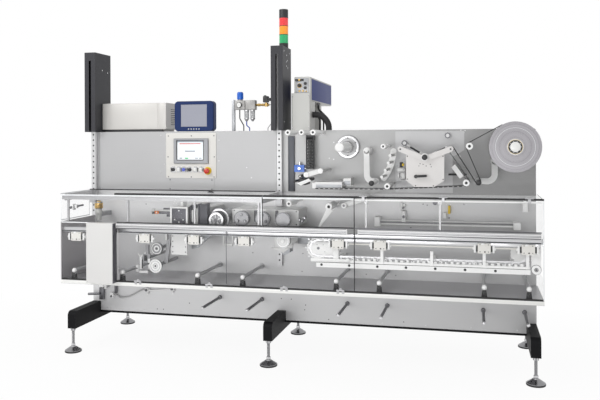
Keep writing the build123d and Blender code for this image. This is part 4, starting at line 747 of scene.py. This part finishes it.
piece("splice_lever", black_plastic, "button_black", bar=[
    (2414, 378, 1244, 2482, 378, 1248, 7.5, 16, 3)], disc=[
    (2416, 1244, 11, 371, 387)])
piece("unwind_hub_bolts", machined, "machined_alu", disc=[
    (*on_circle(HUB, 60, angle), 6, 15.5, 21, 6) for angle in around(6, 30)], ring=[
    (*HUB, 62, 74, 16, 19)])
piece("second_spindle_lines", white_plastic, "roller_white", faced=[
    (HUB[0], out, HUB[1], ((0, 29.9), (1, 30.3), (3, 30.3), (4, 29.9)), 32)
        for out in (110, 170, 230, 290)], disc=[
    (*HUB, 22, 330, 334)])

# Film roll: light ring in the winding, core rings, and the mandrel's gap ring and face
piece("film_roll_light_ring", edge_highlight, "film_grey", "film_reel", ring=[
    (*REEL, 115, 117, 330, 330.4, 72)])
piece("mandrel_gap_ring", black_plastic, "button_black", "film_reel", ring=[
    (*REEL, 31, 37.6, 321, 334.6, 40), (*REEL, 37.6, 41, 334.1, 334.9, 48)])
piece("core_tan_ring", core_card, "film_grey", "film_reel", ring=[(*REEL, 41, 45.6, 334.1, 335.2, 56)])
piece("core_edge_ring", machined, "film_grey", "film_reel", ring=[
    (*REEL, 46, 48.2, 330, 330.6, 56)], bar=[
    (along, 334.6, up, along, 335.4, up, 2.4, 8)
        for along, up in [on_circle(REEL, 34.5, angle) for angle in around(10)]])
piece("mandrel_face", button_white, "machined_alu", "film_reel", faced=[
    (REEL[0], 343.6, REEL[1], ((0, 29), (1.5, 29), (2.5, 26)), 40)])

# Front cover box: screws, and a dark sheet of painted shade on its right side
piece("cover_box_screws", machined, "bright_steel", faced=[
    (along, 529.4, up, COVER_SCREW, 14)
        for along, up in ((260, 537), (433, 537), (260, 917), (433, 917))])
piece("cover_box_side_shade", panel_dark, "seal_black", block=[(443.1, 446.4, 478, 527, 530, 924, 0.4)])

# Bearing blocks of the guard's cross rail: clamp screws
piece("clamp_screws", dark_steel, "frame_black", disc=[
    (along + side * 24, up, 3, 463, 464.2, 8) for along in CLAMPS for side in (-1, 1) for up in (806, 848)])

# Rods: rounded white tips, dark lower rods, and the black blocks on the tray
piece("rod_tips", white_plastic, "roller_white", faced=[
    *[(along, 418, TRAY_ROD_UP, ROD_TIP, 24) for along in TRAY_RODS],
    *[(along, 334, WALL_ROD_UP, WALL_ROD_TIP, 24) for along in WALL_RODS]])
piece("lower_rod_sleeves", dark_steel, "frame_black", disc=[
    *[(along, WALL_ROD_UP, 9.6, 30, 333, 24) for along in WALL_RODS],
    *[(along, WALL_ROD_UP, 15, 0, 12, 24) for along in WALL_RODS]])
piece("tray_rod_sleeves", bar_grey, "machined_alu", disc=[
    *[(along, TRAY_ROD_UP, 11.4, 3, 416, 28) for along in TRAY_RODS],
    *[(along, TRAY_ROD_UP, 19, 0, 8, 28) for along in TRAY_RODS]])
piece("support_blocks", black_rubber, "rubber_black", plate=[
    (((along - 17, 531.2), (along + 17, 531.2), (along + 12, 576), (along - 12, 576)), 417, 443.5, 1.5)
        for along in TRAY_RODS])

# Levelling feet: threads and hexagon nuts
piece("foot_threads", foot_steel, "bright_steel", turned=[
    (*foot, 50, *foot, 148, FOOT_THREAD, 20) for foot in FEET])
piece("foot_nuts", machined, "bright_steel", bar=[
    (*foot, low, *foot, high, radius, sides) for foot in FEET
        for low, high, radius, sides in ((46, 58, 15, 6), (148.6, 164.6, 18.5, 6), (36, 40, 17, 24))])

# Back: locks, handles and air slots on the cover panels, and the sockets of the coder box
piece("back_dark_fittings", black_plastic, "button_black", block=[
    *[(along - 9, along + 9, -517, -516, up - 2, up + 2, 0.2) for left in PANELS
        for along in (left + 40, left + 711) for up in (380, 908, 1436)],
    *[(left + 330, left + 421, -515, -512, 1370, 1400, 3) for left in PANELS],
    *[(left + 210, left + 541, -513, -512, 470 + index * 16, 476 + index * 16, 0.2) for left in PANELS
        for index in range(10)],
    (420, 540, -272, -270, 1600, 1700, 2)], disc=[
    (along, 1650, 16, -279, -270, 24) for along in (140, 240, 340)])
piece("back_locks_and_handles", machined, "bright_steel", disc=[
    (along, up, 14, -516, -512, 24) for left in PANELS for along in (left + 40, left + 711)
        for up in (380, 908, 1436)], bar=[
    *[(left + 340, -523, 1385, left + 411, -523, 1385, 5) for left in PANELS],
    *[(along, -523, 1385, along, -512, 1385, 5) for left in PANELS for along in (left + 340, left + 411)]])

# Guard lines: light edges of the clear sheets as painted highlights; dark seals in the gaps, and painted
# shadow in the gaps above the bars; white lip; painted shade in the grooves and painted highlights along
# the bars
piece("guard_edge_highlights", edge_highlight, "clear_guard", block=[
    (1462, 2044, *SHEET_EDGE, 1101, 1111.4, 0.3), (3150.5, 3156.4, *SHEET_LINE, 541, 1111, 0.3),
    (3156.1, 3157, 0, GUARD, 1111.5, 1117.8, 0.3), (34, 250, *SHEET_LINE, 919, 926, 0.3)])
piece("hood_edge_highlights", edge_highlight, "clear_guard", "hood", block=[
    (28, 1456, *SHEET_EDGE, 1102, 1111.4, 0.3), (28, 34, *SHEET_LINE, 932, 1111, 0.3),
    (1450, 1456, *SHEET_LINE, 932, 1111, 0.3), (27, 27.9, 96, GUARD, 1112, 1117.8, 0.3),
    (27, 27.9, 96, GUARD, 932, 938, 0.3), (27, 27.9, 95.5, 101, 938, 1112, 0.3)])
piece("hood_seals_and_gap_shadow", black_rubber, "seal_black", "hood", block=[
    (430, 1456, GUARD - 26, GUARD + 1.8, 1118.1, 1123, 0.5), (430, 1456, *SHEET_SEAL, 1112, 1118, 0.2),
    # The strip along the hood's lower edge is painted shadow in the gap above the bar
    (446, 1456, GUARD - 5.5, GUARD + 1.4, 926.2, 931.8, 0.5), (34, 1440, 97, 104, 1118, 1124, 0.5)])
piece("guard_seals_and_gap_shadow", black_rubber, "seal_black", block=[
    (1462, 3150, GUARD - 26, GUARD - 10.2, 1118.1, 1122.9, 0.5),
    (1462, 3156, *SHEET_SEAL, 1112.5, 1122.9, 0.3),
    # The strip from 925.5 to 932 up is painted shadow in the gap above the bar; the last strip is painted
    # shade under the cross rail's light face
    (2044.6, 2049.4, GUARD - 5, GUARD + 0.6, 541, 1112, 0.4), (1462, 2043.5, *SHEET_LINE, 925.5, 932, 0.3),
    (1457.2, 1460.8, GUARD - 6, GUARD - 0.5, 932, 1111, 0.4), (34, 3140, 463.1, 463.7, 861, 867, 0.1)])


def bar_shade_lines(bar):
    """Dark lines along the front of a door's bar: painted shade in its grooves."""
    return [(*bar, *BAR_GROOVE, 891.5, 896.5, 0.05), (*bar, *BAR_SHADE_LINE, 903.5, 905.3, 0.05),
            (*bar, *BAR_SHADE_LINE, 911.5, 912.6, 0.05)]


# Light lines along the front of a door's bar: painted highlights
def bar_highlight_lines(bar):
    return [(*bar, *BAR_HIGHLIGHT, 914, 918, 0.05), (*bar, *BAR_HIGHLIGHT, 897, 899.5, 0.05)]


def bar_caps(bar):
    return [(left, left + 4, *BAR_OUT, 890, 924, 1) for left in (bar[0] - 4, bar[1])]


piece("fold_door_lines", dark_steel, "seal_black", "fold_door", block=[
    # A dark joint down the fold door, and painted shade in its bar's grooves
    (1214.4, 1217.6, GUARD - 5.6, GUARD - 0.4, 550, 889, 0.3), *bar_shade_lines(FOLD_BAR)])
piece("lift_door_lines", dark_steel, "seal_black", "lift_door", block=[
    # Painted shade in the bar's grooves, and a strip of painted shadow in the gap above the bar
    *bar_shade_lines(LIFT_BAR), (2052, 3142, *SHEET_LINE, 924.5, 930.5, 0.3)])
piece("lift_door_edges", white_plastic, "clear_guard", "lift_door", block=[
    # The long light line along the top of the lift door's sheet is a painted highlight
    (2050, 3143, GUARD + 0.1, GUARD + 1.0, 1097, 1105.5, 0.3),
    *[(along - 12, along + 12, 447, 468.5, 1082, 1101, 2) for along in (2119, 2564)]], bar=[
    (along - 4, 470, 900, along - 4, 470, 1082, 1.4, 8) for along in (2119, 2564)])
# Light lines on the bar and down the fold door's left edge: painted highlights
piece("fold_bar_highlight_lines", white_plastic, "roller_white", "fold_door", block=[
    *bar_highlight_lines(FOLD_BAR), (452.8, 457, GUARD + 0.1, GUARD + 2, 550, 889, 0.3)])
piece("lift_bar_highlight_lines", white_plastic, "roller_white", "lift_door", block=bar_highlight_lines(LIFT_BAR))
piece("tray_white_lip", button_white, "wall_steel", block=[(28, 3156, *SHEET_EDGE, 507, 530.6, 0.4)])
piece("fold_bar_caps", white_plastic, "roller_white", "fold_door", block=bar_caps(FOLD_BAR))
piece("lift_bar_caps", white_plastic, "roller_white", "lift_door", block=bar_caps(LIFT_BAR))

# Cross rail: light upper face as a painted highlight, over its dark line of painted shade, and the white
# rail that the right clamps share
piece("cross_rail_faces", machined, "machined_alu", block=[
    (34, 3150, 463.1, 463.6, 869, 887, 0.1),
    *[(start, end, 434, 458, 838, 857.8, 1.5) for start, end in ((1980, 2165), (2241, 2782), (2858, 3031),
        (3107, 3140))]])

# Clamp blocks: dark slots and tall white end plates beside them, caps and screws, and a strip of painted
# shadow along each block's top
piece("clamp_end_plates", white_plastic, "roller_white", block=[
    *[(*sorted((along + way * 47, along + way * 60)), 436, 462, 799, 847, 4) for along in CLAMPS
        for way in (-1, 1)],
    *[(along - 16, along + 2, 463, 466, 847, 857, 1.5) for along in CLAMPS]], bar=[
    (along + way * 60, 448, 823, along + way * 67, 448, 823, 9) for along in CLAMPS for way in (-1, 1)])
piece("clamp_slots_and_top_shade", black_plastic, "button_black", block=[
    *[(*sorted((along + way * 37.2, along + way * 47)), 438, 461, 806, 842, 1) for along in CLAMPS
        for way in (-1, 1)],
    # Strips of painted shadow along the clamps' tops, under the cross rail
    *[(along - 37, along + 37, 463, 463.5, 855.6, 857.9, 0.1) for along in CLAMPS]], disc=[
    (along + 4, 806, 4.4, 463, 465, 14) for along in CLAMPS])


def oblong(start, end, radius, sides=16):
    """The outline of a long round-ended plate along the machine, as along and up."""
    return [on_circle(centre, radius, first + pi * step / sides)
            for centre, first in ((start, pi / 2), (end, -pi / 2)) for step in range(sides + 1)]


# Chain wheel cover: a white oblong plate with its rim, rollers round it, and dots
piece("chain_wheel_cover", white_plastic, "roller_white", plate=[
    (oblong(WHEEL, (1905, 790), 40), 408, 413, 1.5), (oblong(WHEEL, (1895, 790), 30), 413, 415.5, 1.0)],
    block=[
    (1760, 2016, 408, 424, 706, 727, 2), (1905, 1940, 400, 424, 727, 790, 2)], disc=[
    (*on_circle(WHEEL, 66, angle), 5, 396, 407, 10) for angle in around(24)
        if cos(angle) < 0.3], ring=[
    (*WHEEL, 56, 66, 404, 408, 48)])
piece("chain_cover_dots", dark_steel, "frame_black", disc=[
    (WHEEL[0] + 8, WHEEL[1], 9, 415.5, 416.5, 20),
    *[(along, up, 2.6, 415.4, 416.2, 12, 0.1) for along, up in ((1800, 812), (1840, 812), (1905, 806),
        (1905, 774), (1850, 768))],
    *[(2030 + index * 41, 730, 3.2, 441, 442, 10, 0.1) for index in range(26)]])

# Infeed: fingers of the product guide, holes of the side bar, and the end plate's bores
piece("infeed_guide_fingers", white_plastic, "roller_white", block=[
    (1990 + index * 33.4, 2008 + index * 33.4, 430, 437, 722, 734 + 4 * (index % 2), 1.5)
        for index in range(33)])
piece("side_bar_holes", black_plastic, "button_black", disc=[
    (along, 692, 8, 441, 442.2, 18, 0.2) for along in (1834, 2009, 2184, 2359, 2534, 2709, 2884)], block=[
    (1800, 3082, 441, 441.5, 705, 707.5, 0.1)])
piece("end_plate_rings", white_plastic, "roller_white", ring=[
    (*END_BORE, 12, 27, 429, 434, 40)], disc=[
    (3115, 770, 12, 429, 432, 24), (3115, 820, 8, 429, 432, 24)])
piece("end_plate_bore_and_shade_rings", dark_steel, "frame_black", disc=[
    # A dark bore, and dark rings of painted shade round both edges of the white ring
    (*END_BORE, 6, 429, 435, 20)], ring=[
    (*END_BORE, 27, 29.5, 429, 430.5, 40), (*END_BORE, 9, 12, 429, 433, 32)])

# Press block: white frame round a dark face with four studs, dark plate stacks beside it
piece("press_frame", white_plastic, "cast_light", block=[
    (800, 812, 398, 408, 918, 1034, 1.5), (912, 924, 398, 408, 918, 1034, 1.5),
    (812, 912, 398, 408, 1022, 1034, 1.5), (855, 872, 300, 360, 1032, 1062, 3),
    (938, 950, 350, 372, 930, 1010, 2), (826, 898, 404, 406, 1026, 1031, 0.5)], disc=[
    (along, up, 4.6, 404, 408, 14) for along, up in ((862, 1008), (832, 948), (892, 948), (862, 932))])
piece("press_dark_plates", panel_dark, "anthracite", block=[
    (812, 912, 400.5, 403.5, 921, 1022, 0.5), (926, 936, 330, 374, 918, 1040, 1),
    (952, 964, 330, 374, 918, 1046, 1), (934, 966, 361, 364, 912, 1046, 0.5),
    (982, 992, 320, 376, 918, 1052, 1), (992, 1040, 362, 370, 914, 1050, 1),
    (1040, 1050, 320, 376, 918, 1056, 1), (786, 800, 340, 380, 935, 1012, 2)])
piece("bolted_plate_screws", dark_steel, "frame_black", disc=[
    *[(along, up, 4.2, 400, 402.5, 12) for up in (733, 768, 803, 838, 873) for along in (815, 907)],
    (842, 893, 3.6, 400, 402.4, 12), (884, 893, 3.6, 400, 402.4, 12)])
piece("bolted_plate_ring", light_cast, "cast_light", ring=[
    (862, 852, 9, 11.5, 400, 401.2, 28)], block=[
    (920, 990, 330, 386, 780, 890, 3)])
piece("bracket_wedge", panel_grey, "machined_alu", plate=[
    (((918, 742), (960, 752), (1058, 838), (1058, 900), (918, 900)), 296, 326, 2),
    (((1500, 790), (1560, 720), (1600, 742), (1600, 800)), 240, 330, 2)])
piece("white_brackets", light_cast, "cast_light", block=[
    (1096, 1112, 200, 214, 752, 880, 2), (1112, 1168, 200, 214, 752, 772, 2),
    (1160, 1176, 200, 214, 772, 840, 2), (1446, 1470, 280, 300, 835, 900, 2),
    (1500, 1622, 330, 342, 772, 872, 3)], plate=[
    (((1478, 772), (1560, 740), (1602, 772)), 330, 342, 2)])
piece("dark_knob_row", dark_steel, "frame_black", disc=[
    (along, up, 10, 250, 268, 20) for along, up in KNOB_ROW])
piece("knob_row_caps", machined, "machined_alu", disc=[
    (along, up, 5, 268, 271, 16) for along, up in KNOB_ROW])

# Cutter wheel with its star arms, and the studs of the sealing discs
piece("cutter_star", machined, "machined_alu", ring=[
    (*CUTTER, 56, 70, 302, 311, 64), (*CUTTER, 36, 50, 360, 366, 48)], bar=[
    (near[0], 366, near[1], far[0], 366, far[1], 5, 12)
        for near, far in [(on_circle(CUTTER, 12, angle), on_circle(CUTTER, 40, angle))
                          for angle in around(5, 90)]])
# Dark rings of painted shade round and between the cutter's light rings, and its dark hub
piece("cutter_dark_rings", dark_steel, "frame_black", ring=[
    (*CUTTER, 50, 58, 318, 330, 48), (*CUTTER, 33, 36, 360, 362, 48), (*CUTTER, 70, 74, 302, 309, 64)],
    disc=[
    (*CUTTER, 11, 366, 378, 20)])
piece("sealing_disc_rollers", dark_steel, "frame_black", ring=[
    (*on_circle(centre, 27, angle), 7, 10.5, 360, 363.5, 20) for centre in SEALING_DISCS
        for angle in around(3, 90)])
piece("sealing_disc_rings", dark_steel, "machined_alu", ring=[
    (along, up, radius - 5, radius - 1, 360, 361.5, 56)
        for along, up, radius in ((1281, 958, 52), (1424, 958, 50), (1562, 955, 50))], disc=[
    (*on_circle(centre, 27, angle), 6.5, 360, 366, 18) for centre in SEALING_DISCS
        for angle in around(3, 90)])
piece("head_housing_bolts", dark_steel, "frame_black", disc=[
    (along, up, 4.5, 250, 253, 14) for along in (1195, 1352, 1493, 1626) for up in (916, 1001)], block=[
    (1338, 1366, 250, 262, 930, 1005, 2), (1484, 1502, 250, 262, 930, 1005, 2)])

# Discharge wheels: rims, hubs and bores, thin dark rings of painted shade round the rims, dark and light
# parts of the small mechanism
piece("discharge_wheel_rims", white_plastic, "roller_white", ring=[
    *[(along, up, 31, 37.5, 352, 355, 48) for along, up in DRIVE_WHEELS],
    *[(along, up, 11, 20, 352, 354, 36) for along, up in DRIVE_WHEELS], (*LOW_WHEEL, 8, 46, 352, 356, 56)])
piece("discharge_wheel_bores_and_shade_rings", dark_steel, "frame_black", disc=[
    (along, up, 7, 352, 355.5, 20) for along, up in DRIVE_WHEELS], ring=[
    *[(along, up, 29, 31, 352, 352.8, 48) for along, up in DRIVE_WHEELS],
    (*LOW_WHEEL, 33, 34.5, 356, 356.6, 48), (*LOW_WHEEL, 15, 17, 356, 356.6, 36),
    (*LOW_WHEEL, 46, 47.5, 350, 355, 56), (676, 743, 38, 39.8, 352, 354, 56)])
piece("discharge_links", white_plastic, "roller_white", block=[
    (508, 528, 306, 326, 575, 622, 4), (528, 596, 304, 318, 566, 582, 3), (534, 552, 300, 322, 592, 680, 4),
    (596, 614, 300, 322, 600, 668, 4), (700, 724, 340, 356, 842, 878, 4),
    (729, 742, 316, 330, 800, 868, 3)], bar=[
    (545, 312, 680, 590, 312, 712, 7), (520, 312, 700, 545, 312, 668, 4)])
piece("discharge_dark_parts", black_plastic, "button_black", block=[
    (553, 560, 322, 326, 600, 660, 1), (570, 592, 320, 325, 652, 690, 2)], disc=[
    (604, 634, 6, 322, 326, 16), (518, 600, 5, 326, 329, 16)])

# Orange sensor on its arm, and the brass-topped device at the outfeed
piece("sensor_arm", dark_steel, "machined_alu", block=[
    (640, 786, 330, 348, 978, 992, 2), (722, 800, 326, 344, 992, 1018, 3),
    (748, 782, 322, 350, 960, 980, 2)])
piece("orange_sensor", orange_plastic, "valve_blue", block=[(664, 694, 349, 356, 979, 997, 2)])
piece("orange_sensor_lens", button_white, "box_white", disc=[(678, 988, 5, 356, 357, 16)])
piece("outfeed_brass_cap", brass, "machined_alu", turned=[
    (132, 150, 1002, 132, 150, 1060, ((0, 27), (6, 29), (22, 29), (28, 24), (34, 16), (40, 12)), 32),
    (132, 150, 985, 132, 150, 1005, ((0, 24), (8, 30), (17, 30)), 32)])
piece("outfeed_device_body", laser_grey, "machined_alu", turned=[
    (132, 150, 905, 132, 150, 990, ((0, 20), (40, 21), (46, 25), (70, 25), (76, 21), (82, 21)), 32)])

# Motor: fins, face ring and dark terminal box side
piece("motor_fins", white_plastic, "cast_light", ring=[
    *[(*MOTOR, 45, 49, out, out + 6, 40) for out in range(220, 365, 24)], (*MOTOR, 34, 40, 420, 423, 40)],
    disc=[
    (*MOTOR, 12, 420, 426, 24)])
piece("motor_dark_side", panel_grey, "anthracite", block=[
    (1622, 1702, 150, 201, 783, 877, 3)], ring=[
    # A thin dark ring of painted shade round the face ring
    (*MOTOR, 40, 42, 420, 421, 40)])

# Right upper guard: long thin shaft with its blocks, small devices on the wall
piece("inner_shaft_and_blocks", white_plastic, "roller_white", bar=[
    (2150, 60, 912, 3010, 60, 912, 5, 14), (2150, 60, 936, 3010, 60, 936, 2.5, 10)], block=[
    (2118, 2154, 0, 84, 896, 958, 3), (3006, 3050, 0, 84, 894, 938, 3), (2296, 2322, 0, 60, 925, 1000, 4),
    (2566, 2586, 0, 40, 954, 990, 3), (3062, 3096, 0, 60, 1006, 1060, 4),
    (2284, 2300, 0, 30, 1006, 1050, 2)], disc=[
    (2310, 1035, 9, 0, 30, 20), (3078, 1078, 10, 0, 50, 20)])
piece("inner_dark_knobs", dark_steel, "frame_black", disc=[
    (2310, 962, 10, 60, 66, 20), (2303, 1016, 7, 30, 36, 18), (2512, 1054, 15, 0, 26, 26),
    (2577, 1076, 6, 0, 20, 16), (2604, 958, 5, 40, 46, 16)], bar=[
    (2150, 60, 924, 3006, 60, 924, 2, 8)])
piece("inner_orange_sensor", stop_yellow, "valve_blue", block=[(2596, 2612, 0, 40, 984, 1036, 2)])

# Arms beside the left end of the right guard: white swing arm with its plate
piece("guard_swing_arms", white_plastic, "cast_light", plate=[
    (((1932, 1062), (1946, 1030), (2062, 1068), (2096, 1082), (2098, 1098), (2060, 1102)), 200, 212, 2),
    (((1772, 905), (1786, 905), (1868, 1008), (1852, 1036), (1834, 1036)), 240, 250, 1.5)], disc=[
    (1940, 1044, 18, 200, 236, 26), (2078, 1090, 16, 200, 230, 26)], bar=[
    (2078, 0, 1090, 2078, 200, 1090, 9), (1850, 0, 1020, 1850, 240, 1020, 8),
    (1940, 0, 1044, 1940, 200, 1044, 8)])
piece("guard_swing_bores_and_shade_ring", dark_steel, "frame_black", disc=[
    (1940, 1044, 8, 236, 238, 18), (2078, 1090, 7, 230, 233, 18)], ring=[
    # A dark ring of painted shade round the arm's right hub
    (2078, 1090, 16, 18.5, 212, 214, 30)])

# Wall fittings at the lower left: valves, plugs and couplings
piece("wall_couplings", white_plastic, "roller_white", block=[
    (432, 458, 0, 33, 371, 403, 4), (630, 656, 0, 27, 388, 416, 4), (150, 178, 0, 33, 321, 357, 4),
    (104, 122, 0, 31, 380, 471, 3), (60, 96, 0, 25, 390, 421, 3)], bar=[
    (640, 14, 388, 640, 14, 372, 8), (458, 16, 387, 474, 16, 380, 8), (445, 14, 371, 445, 14, 352, 7),
    (112, 20, 471, 112, 20, 500, 6), (139, 20, 480, 139, 20, 500, 6), (466, 20, 384, 628, 20, 400, 6)])
piece("wall_coupling_knobs", dark_steel, "frame_black", block=[
    (60, 96, 0, 25, 299, 388, 3), (130, 146, 0, 31, 400, 481, 3), (185, 200, 0, 26, 350, 440, 3)], disc=[
    (445, 387, 9, 33, 42, 20), (643, 402, 9, 27, 34, 20), (164, 330, 7, 33, 40, 18)], bar=[
    (70, 30, 345, -20, 40, 340, 9)])

# Side handle of the hood
piece("side_handle_rod", dark_steel, "frame_black", "hood", bar=[
    (6, 300, 1006, 96, 300, 1024, 6.5), (-8, 300, 1003, 8, 300, 1006, 9)])
piece("side_handle_clamps", white_plastic, "roller_white", "hood", block=[
    (20, 27.8, 282, 318, 988, 1030, 2), (34.2, 52, 288, 312, 1000, 1026, 2)])

# Film web: dark edge along its runs, and marks
FILM_RUNS = (((2931.9, 1559.8), (2726.7, 1447.8)), ((2717.2, 1420.7), (2803.3, 1214.6)),
             ((2777.7, 1201.4), (2640.7, 1421.7)), ((2718.1, 1184.6), (2236.0, 1159.6)),
             ((2236.0, 1159.6), (1770, 1159.6)))
MARKS = [(2718.1 - (index + 0.5) / 16 * 482.1, 1184.6 - (index + 0.5) / 16 * 25) for index in range(16)]
piece("film_web_dark_edge", black_rubber, "seal_black", bar=[
    (start[0], 321, start[1], end[0], 321, end[1], 2.6, 8) for start, end in FILM_RUNS])
piece("film_web_marks", button_white, "box_white", bar=[
    *[(along, 324.2, up, along - 9, 324.2, up - 0.5, 1.5, 6) for along, up in MARKS],
    *[(along, 324.2, 1159.6, along - 14, 324.2, 1159.6, 1.5, 6) for along in range(2220, 1803, -32)]])

# Guide block under the chute: dark underside, grey end, dark rollers under the swing arm
piece("guide_dark_rollers", black_plastic, "button_black", block=[
    (1768, 1937, 285, 303, 1154, 1160, 0.5), (1650, 1698, 150, 290, 1178, 1222, 3)], bar=[
    (1664, 150, 1236, 1664, 300, 1236, 11), (1716, 150, 1214, 1716, 296, 1214, 12),
    (1628, 150, 1204, 1628, 296, 1204, 9)])
piece("guide_light_arms", white_plastic, "cast_light", bar=[
    (1664, 300, 1236, 1664, 303, 1236, 5), (1716, 296, 1214, 1716, 299, 1214, 5)], plate=[
    (((1640, 1190), (1668, 1176), (1736, 1206), (1722, 1222)), 292, 300, 1)], block=[
    (1744, 1768, 140, 301, 1158, 1196, 3)], disc=[
    (1800, 1272, 17, 300, 304, 28), (1705, 1246, 17, 300, 304, 28)])
piece("guide_block_face", panel_grey, "machined_alu", block=[
    (1770, 1936, 300.1, 301.5, 1164, 1184, 0.3), (1944, 1986, 250.1, 251.5, 1178, 1206, 0.3)], disc=[
    (1790, 1174, 5, 301.5, 303, 16), (1915, 1174, 5, 301.5, 303, 16)])

# Hub flange: grey face with screws, dark rings of painted shade round its rim and inside it, white spindle
# sleeve
piece("hub_flange_face", splice_steel, "machined_alu", ring=[(*HUB, 40.4, 77, 16.1, 17.2, 56)])
piece("hub_flange_screws_and_shade_rings", dark_steel, "frame_black", disc=[
    (*on_circle(HUB, 60, angle), 5, 17, 21, 14) for angle in around(6, 30)], ring=[
    (*HUB, 77.6, 80.5, 0.5, 12, 64), (*HUB, 36.5, 40, 56, 60.6, 40)])
piece("hub_spindle_sleeve", white_plastic, "roller_white", ring=[
    (*HUB, 30.05, 31, 62, 328, 48)], disc=[
    (*HUB, 27, 330, 331, 40)])

# Splice unit details: dark holes, rods behind, small sensor and bracket at its left
piece("splice_dark_parts", black_plastic, "button_black", disc=[
    *[(along, up, 3, 352.8, 353.5, 12, 0.1) for along, up in ((2433, 1308), (2458, 1318), (2477, 1308),
        (2502, 1318), (2508, 1303), (2440, 1322))],
    *[(along, up, 3.4, 352.8, 354.5, 12, 0.2) for along, up in ((2362, 1226), (2579, 1226), (2362, 1368),
        (2579, 1368), (2412, 1186), (2520, 1186))]], bar=[
    (2367, 200, 1424, 2427, 200, 1388, 6, 14), (2532, 200, 1390, 2587, 200, 1418, 6, 14)], block=[
    (2300, 2318, 150, 215, 1296, 1326, 3), (2600, 2716, 30, 44, 1236, 1248, 2)])
piece("splice_light_parts", light_cast, "cast_light", block=[
    (2282, 2334, 120, 190, 1262, 1292, 4), (2306, 2334, 120, 180, 1212, 1262, 4),
    (2284, 2296, 150, 190, 1222, 1254, 2)], bar=[
    (2345, 200, 1436, 2367, 200, 1424, 9, 16), (2427, 200, 1388, 2444, 200, 1378, 9, 16),
    (2587, 200, 1418, 2600, 200, 1424, 9, 16), (2510, 200, 1378, 2532, 200, 1390, 9, 16)])
piece("splice_yellow_mark", stop_yellow, "valve_blue", block=[(2316, 2326, 170, 216, 1302, 1318, 2)])
piece("splice_arm_rings", light_cast, "cast_light", ring=[
    *[(along, up, 8, 12, 363, 365, 28) for along, up in ARM_TIPS], (2470, 1362, 17, 24, 363, 368, 36)])

# Floor and light
floor_mesh = bpy.data.meshes.new("floor")
floor_mesh.from_pydata([(-40, -40, 0), (40, -40, 0), (40, 40, 0), (-40, 40, 0)], [], [(0, 1, 2, 3)])
pale = Finish("floor_pale")
pale.dress({"Base Color": pale.ramp(pale.noise((3, 3, 3)), ((0.3, (0.86,) * 3), (0.7, (0.88,) * 3))),
            "Roughness": 0.9, "Specular IOR Level": 0.1})
rays = pale.nodes.new("ShaderNodeLightPath").outputs
seen = pale.math("MAXIMUM", rays["Is Camera Ray"],
                 pale.math("MAXIMUM", rays["Is Glossy Ray"], rays["Is Transmission Ray"]))
distance = pale.add("VectorMath", {0: pale.mapped((0.55, 1.0, 1.0))}, "Value", operation="LENGTH")
far = pale.span(distance, 0.93, 1.0, (0.6, 2.0))
blend = pale.add("MixShader", {"Fac": pale.math("MULTIPLY", seen, far), 1: pale.shader.outputs["BSDF"],
                               2: pale.add("Emission", {}, "Emission")}, "Shader")
pale.put(pale.nodes["Material Output"], {"Surface": blend})
floor_mesh.materials.append(pale.owner)
floor = bpy.data.objects.new("floor", floor_mesh)
scene.collection.objects.link(floor)

scene.world = bpy.data.worlds.new("studio")
sky = Graph(scene.world)
rays = sky.nodes.new("ShaderNodeLightPath").outputs
seen = sky.math("MAXIMUM", sky.math("MAXIMUM", rays["Is Camera Ray"], rays["Is Transmission Ray"]),
                sky.math("MULTIPLY", rays["Is Glossy Ray"], 0.8))
sky.put(sky.nodes["Background"], {
    "Color": (1.0, 1.0, 1.0, 1.0), "Strength": sky.span(seen, 0.56, 1.0, (0, 1))})

for name, place, target, size, watts in (
        ("key_light", (-3.0, -4.0, 4.4), (-0.2, 0, 1.0), (3.0, 2.0), 118),
        ("fill_light", (4.6, -3.4, 3.2), (0.3, 0, 1.0), (3.0, 2.0), 10),
        ("front_light", (-0.6, -5.2, 0.9), (-0.3, 0, 0.7), (4.4, 1.0), 60)):
    data = bpy.data.lights.new(name, "AREA")
    data.shape = "RECTANGLE"
    data.size, data.size_y = size
    data.energy = watts
    lamp = bpy.data.objects.new(name, data)
    lamp.location = place
    lamp.rotation_euler = (Vector(target) - Vector(place)).to_track_quat("-Z", "Y").to_euler()
    scene.collection.objects.link(lamp)
